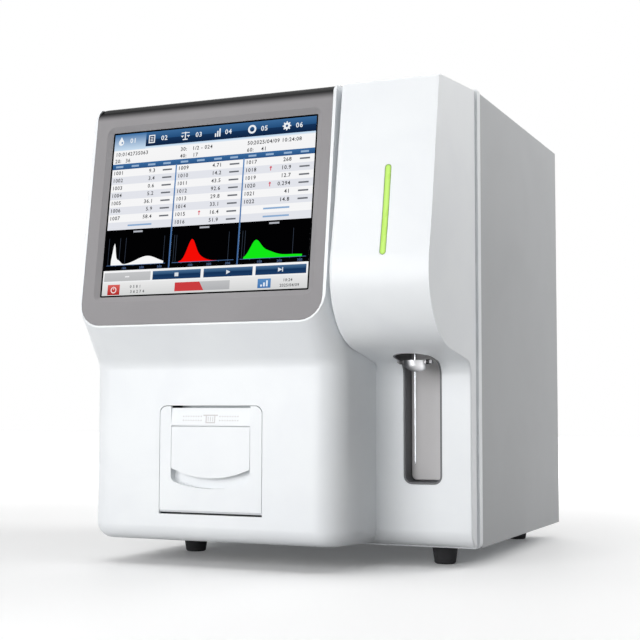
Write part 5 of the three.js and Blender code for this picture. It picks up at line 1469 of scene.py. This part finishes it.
@dataclass
class PhotoCamera:
    """The camera at the photograph's viewing angle, with its angles in radians."""

    place: tuple[float, float, float] = (0.513383, -1.246116, 0.142309)
    yaw: float = math.radians(23.461)
    pitch: float = math.radians(4.084)
    roll: float = math.radians(0.117)
    lens: float = 72.19
    sensor: float = 36.0
    reach: float = 50.0

    def build(self) -> None:
        """Creates the camera, which looks towards +Y, turned to the left and a little upwards."""
        level = Vector((-math.sin(self.yaw), math.cos(self.yaw), 0))
        look = level * math.cos(self.pitch) + UP * math.sin(self.pitch)
        right = level.cross(UP)
        up = right.cross(look)
        turned_right = right * math.cos(self.roll) + up * math.sin(self.roll)
        turned_up = up * math.cos(self.roll) - right * math.sin(self.roll)
        data = bpy.data.cameras.new("photo_camera")
        data.lens, data.sensor_width, data.clip_end = self.lens, self.sensor, self.reach
        camera = stand("photo_camera", data)
        camera.matrix_world = Face(Vector(self.place), turned_right, turned_up, -look).matrix()
        bpy.context.scene.camera = camera


@dataclass(frozen=True)
class Lamp:
    """A soft rectangular lamp that points at a target."""

    name: str
    place: tuple[float, float, float]
    target: tuple[float, float, float]
    size: tuple[float, float]
    power: float

    def hang(self) -> None:
        """Hangs the lamp."""
        data = bpy.data.lights.new(self.name, "AREA")
        data.shape = "RECTANGLE"
        data.size, data.size_y = self.size
        data.energy = self.power
        made = stand(self.name, data)
        made.location = self.place
        aim = Vector(self.target) - Vector(self.place)
        made.rotation_euler = aim.to_track_quat("-Z", "Y").to_euler()


@dataclass
class Studio:
    """A white floor, a dim pale sky and soft lamps in front, at the side, above and behind.

    Attributes:
        floor_size: Side of the square floor.
        sky: Brightness of the sky on the object.
        floor_lift: Light that the floor gives off to the eye alone near the object and far from it.
        floor_reach: Distances from the object between which that light rises.
        floor_colour: Colour that the floor shows to the eye.
        floor_bounce: Colour of the light that it gives back to the object.
        lamps: The lamps.
    """

    floor_size: float = 12.0
    sky: float = 0.08
    floor_lift: tuple[float, float] = (0.065, 0.9)
    floor_reach: tuple[float, float] = (0.42, 1.9)
    floor_colour: str = "#fcfcfc"
    floor_bounce: str = "#b0b0b0"
    lamps: tuple[Lamp, ...] = (
        Lamp("front_lamp", (-0.58, -2.2, 0.6), (0.0, -0.2, 0.28), (1.8, 1.3), 34.5),
        Lamp("side_lamp", (1.2, 0.95, 1.1), (0.15, 0.1, 0.25), (1.0, 1.0), 15.0),
        Lamp("top_lamp", (-0.2, -0.6, 2.4), (-0.1, -0.5, 0.0), (2.4, 2.4), 31.0),
        Lamp("rear_lamp", (-0.9, 2.0, 1.1), (0.0, 0.2, 0.25), (1.4, 1.4), 10.0),
    )

    @staticmethod
    def seen(tree: Tree) -> Socket:
        """Adds a value that is 1 for rays from the camera, from mirrors and through glass.

        Args:
            tree: The node tree.

        Returns:
            The value.
        """
        rays = add(tree, "ShaderNodeLightPath").outputs
        direct = calc(tree, "MAXIMUM", rays["Is Camera Ray"], rays["Is Glossy Ray"])
        return calc(tree, "MAXIMUM", direct, rays["Is Transmission Ray"])

    def floor(self) -> None:
        """Lays the floor, which keeps the object's shadow and shows white elsewhere."""
        half = self.floor_size / 2
        corners = [(x, y, 0) for x, y in oblong(-half, -half, half, half)]
        mesh = bpy.data.meshes.new("studio_floor")
        mesh.from_pydata(corners, [], [(0, 1, 2, 3)])
        floor = stand("studio_floor", mesh)
        material, shader = Paintbox.blank("studio_floor")
        tree = material.node_tree
        seen = self.seen(tree)
        away = add(tree, "ShaderNodeVectorMath", {0: spot(tree)}, operation="LENGTH")
        lift = ranged(tree, away.outputs["Value"], self.floor_reach, self.floor_lift, soft=True)
        feed(shader, {
            "Base Color": mix(tree, seen, linear(self.floor_bounce), linear(self.floor_colour)),
            "Roughness": 0.6,
            "Specular IOR Level": 0.1,
            "Emission Color": linear("#ffffff"),
            "Emission Strength": calc(tree, "MULTIPLY", lift, seen),
        })
        mesh.materials.append(material)

    def world(self) -> None:
        """Sets the sky: white to the eye, and at its own brightness on the object."""
        world = bpy.data.worlds.new("studio_sky")
        world.use_nodes = True
        tree = world.node_tree
        strength = ranged(tree, self.seen(tree), goal=(self.sky, 1.0))
        feed(tree.nodes["Background"], {"Color": linear("#ffffff"), "Strength": strength})
        bpy.context.scene.world = world

    def build(self) -> None:
        """Builds the floor, the sky and the lamps, and sets the plain view transform."""
        self.floor()
        self.world()
        for lamp in self.lamps:
            lamp.hang()
        bpy.context.scene.view_settings.view_transform = "Standard"


def main() -> None:
    """Builds the camera, the studio and the dressed analyzer."""
    logging.basicConfig(level=logging.INFO, format="%(message)s")
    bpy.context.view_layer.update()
    PhotoCamera().build()
    Studio().build()
    shop = Workshop(Paintbox())
    head = DisplayHead(shop)
    for part in (
        Moulding(shop), head, ScreenPicture(shop, head), StatusLight(shop), ProbeBay(shop),
        PrinterDoor(shop), Sockets(shop), Cabinet(shop),
    ):
        part.build()


if __name__ == "__main__":
    main()
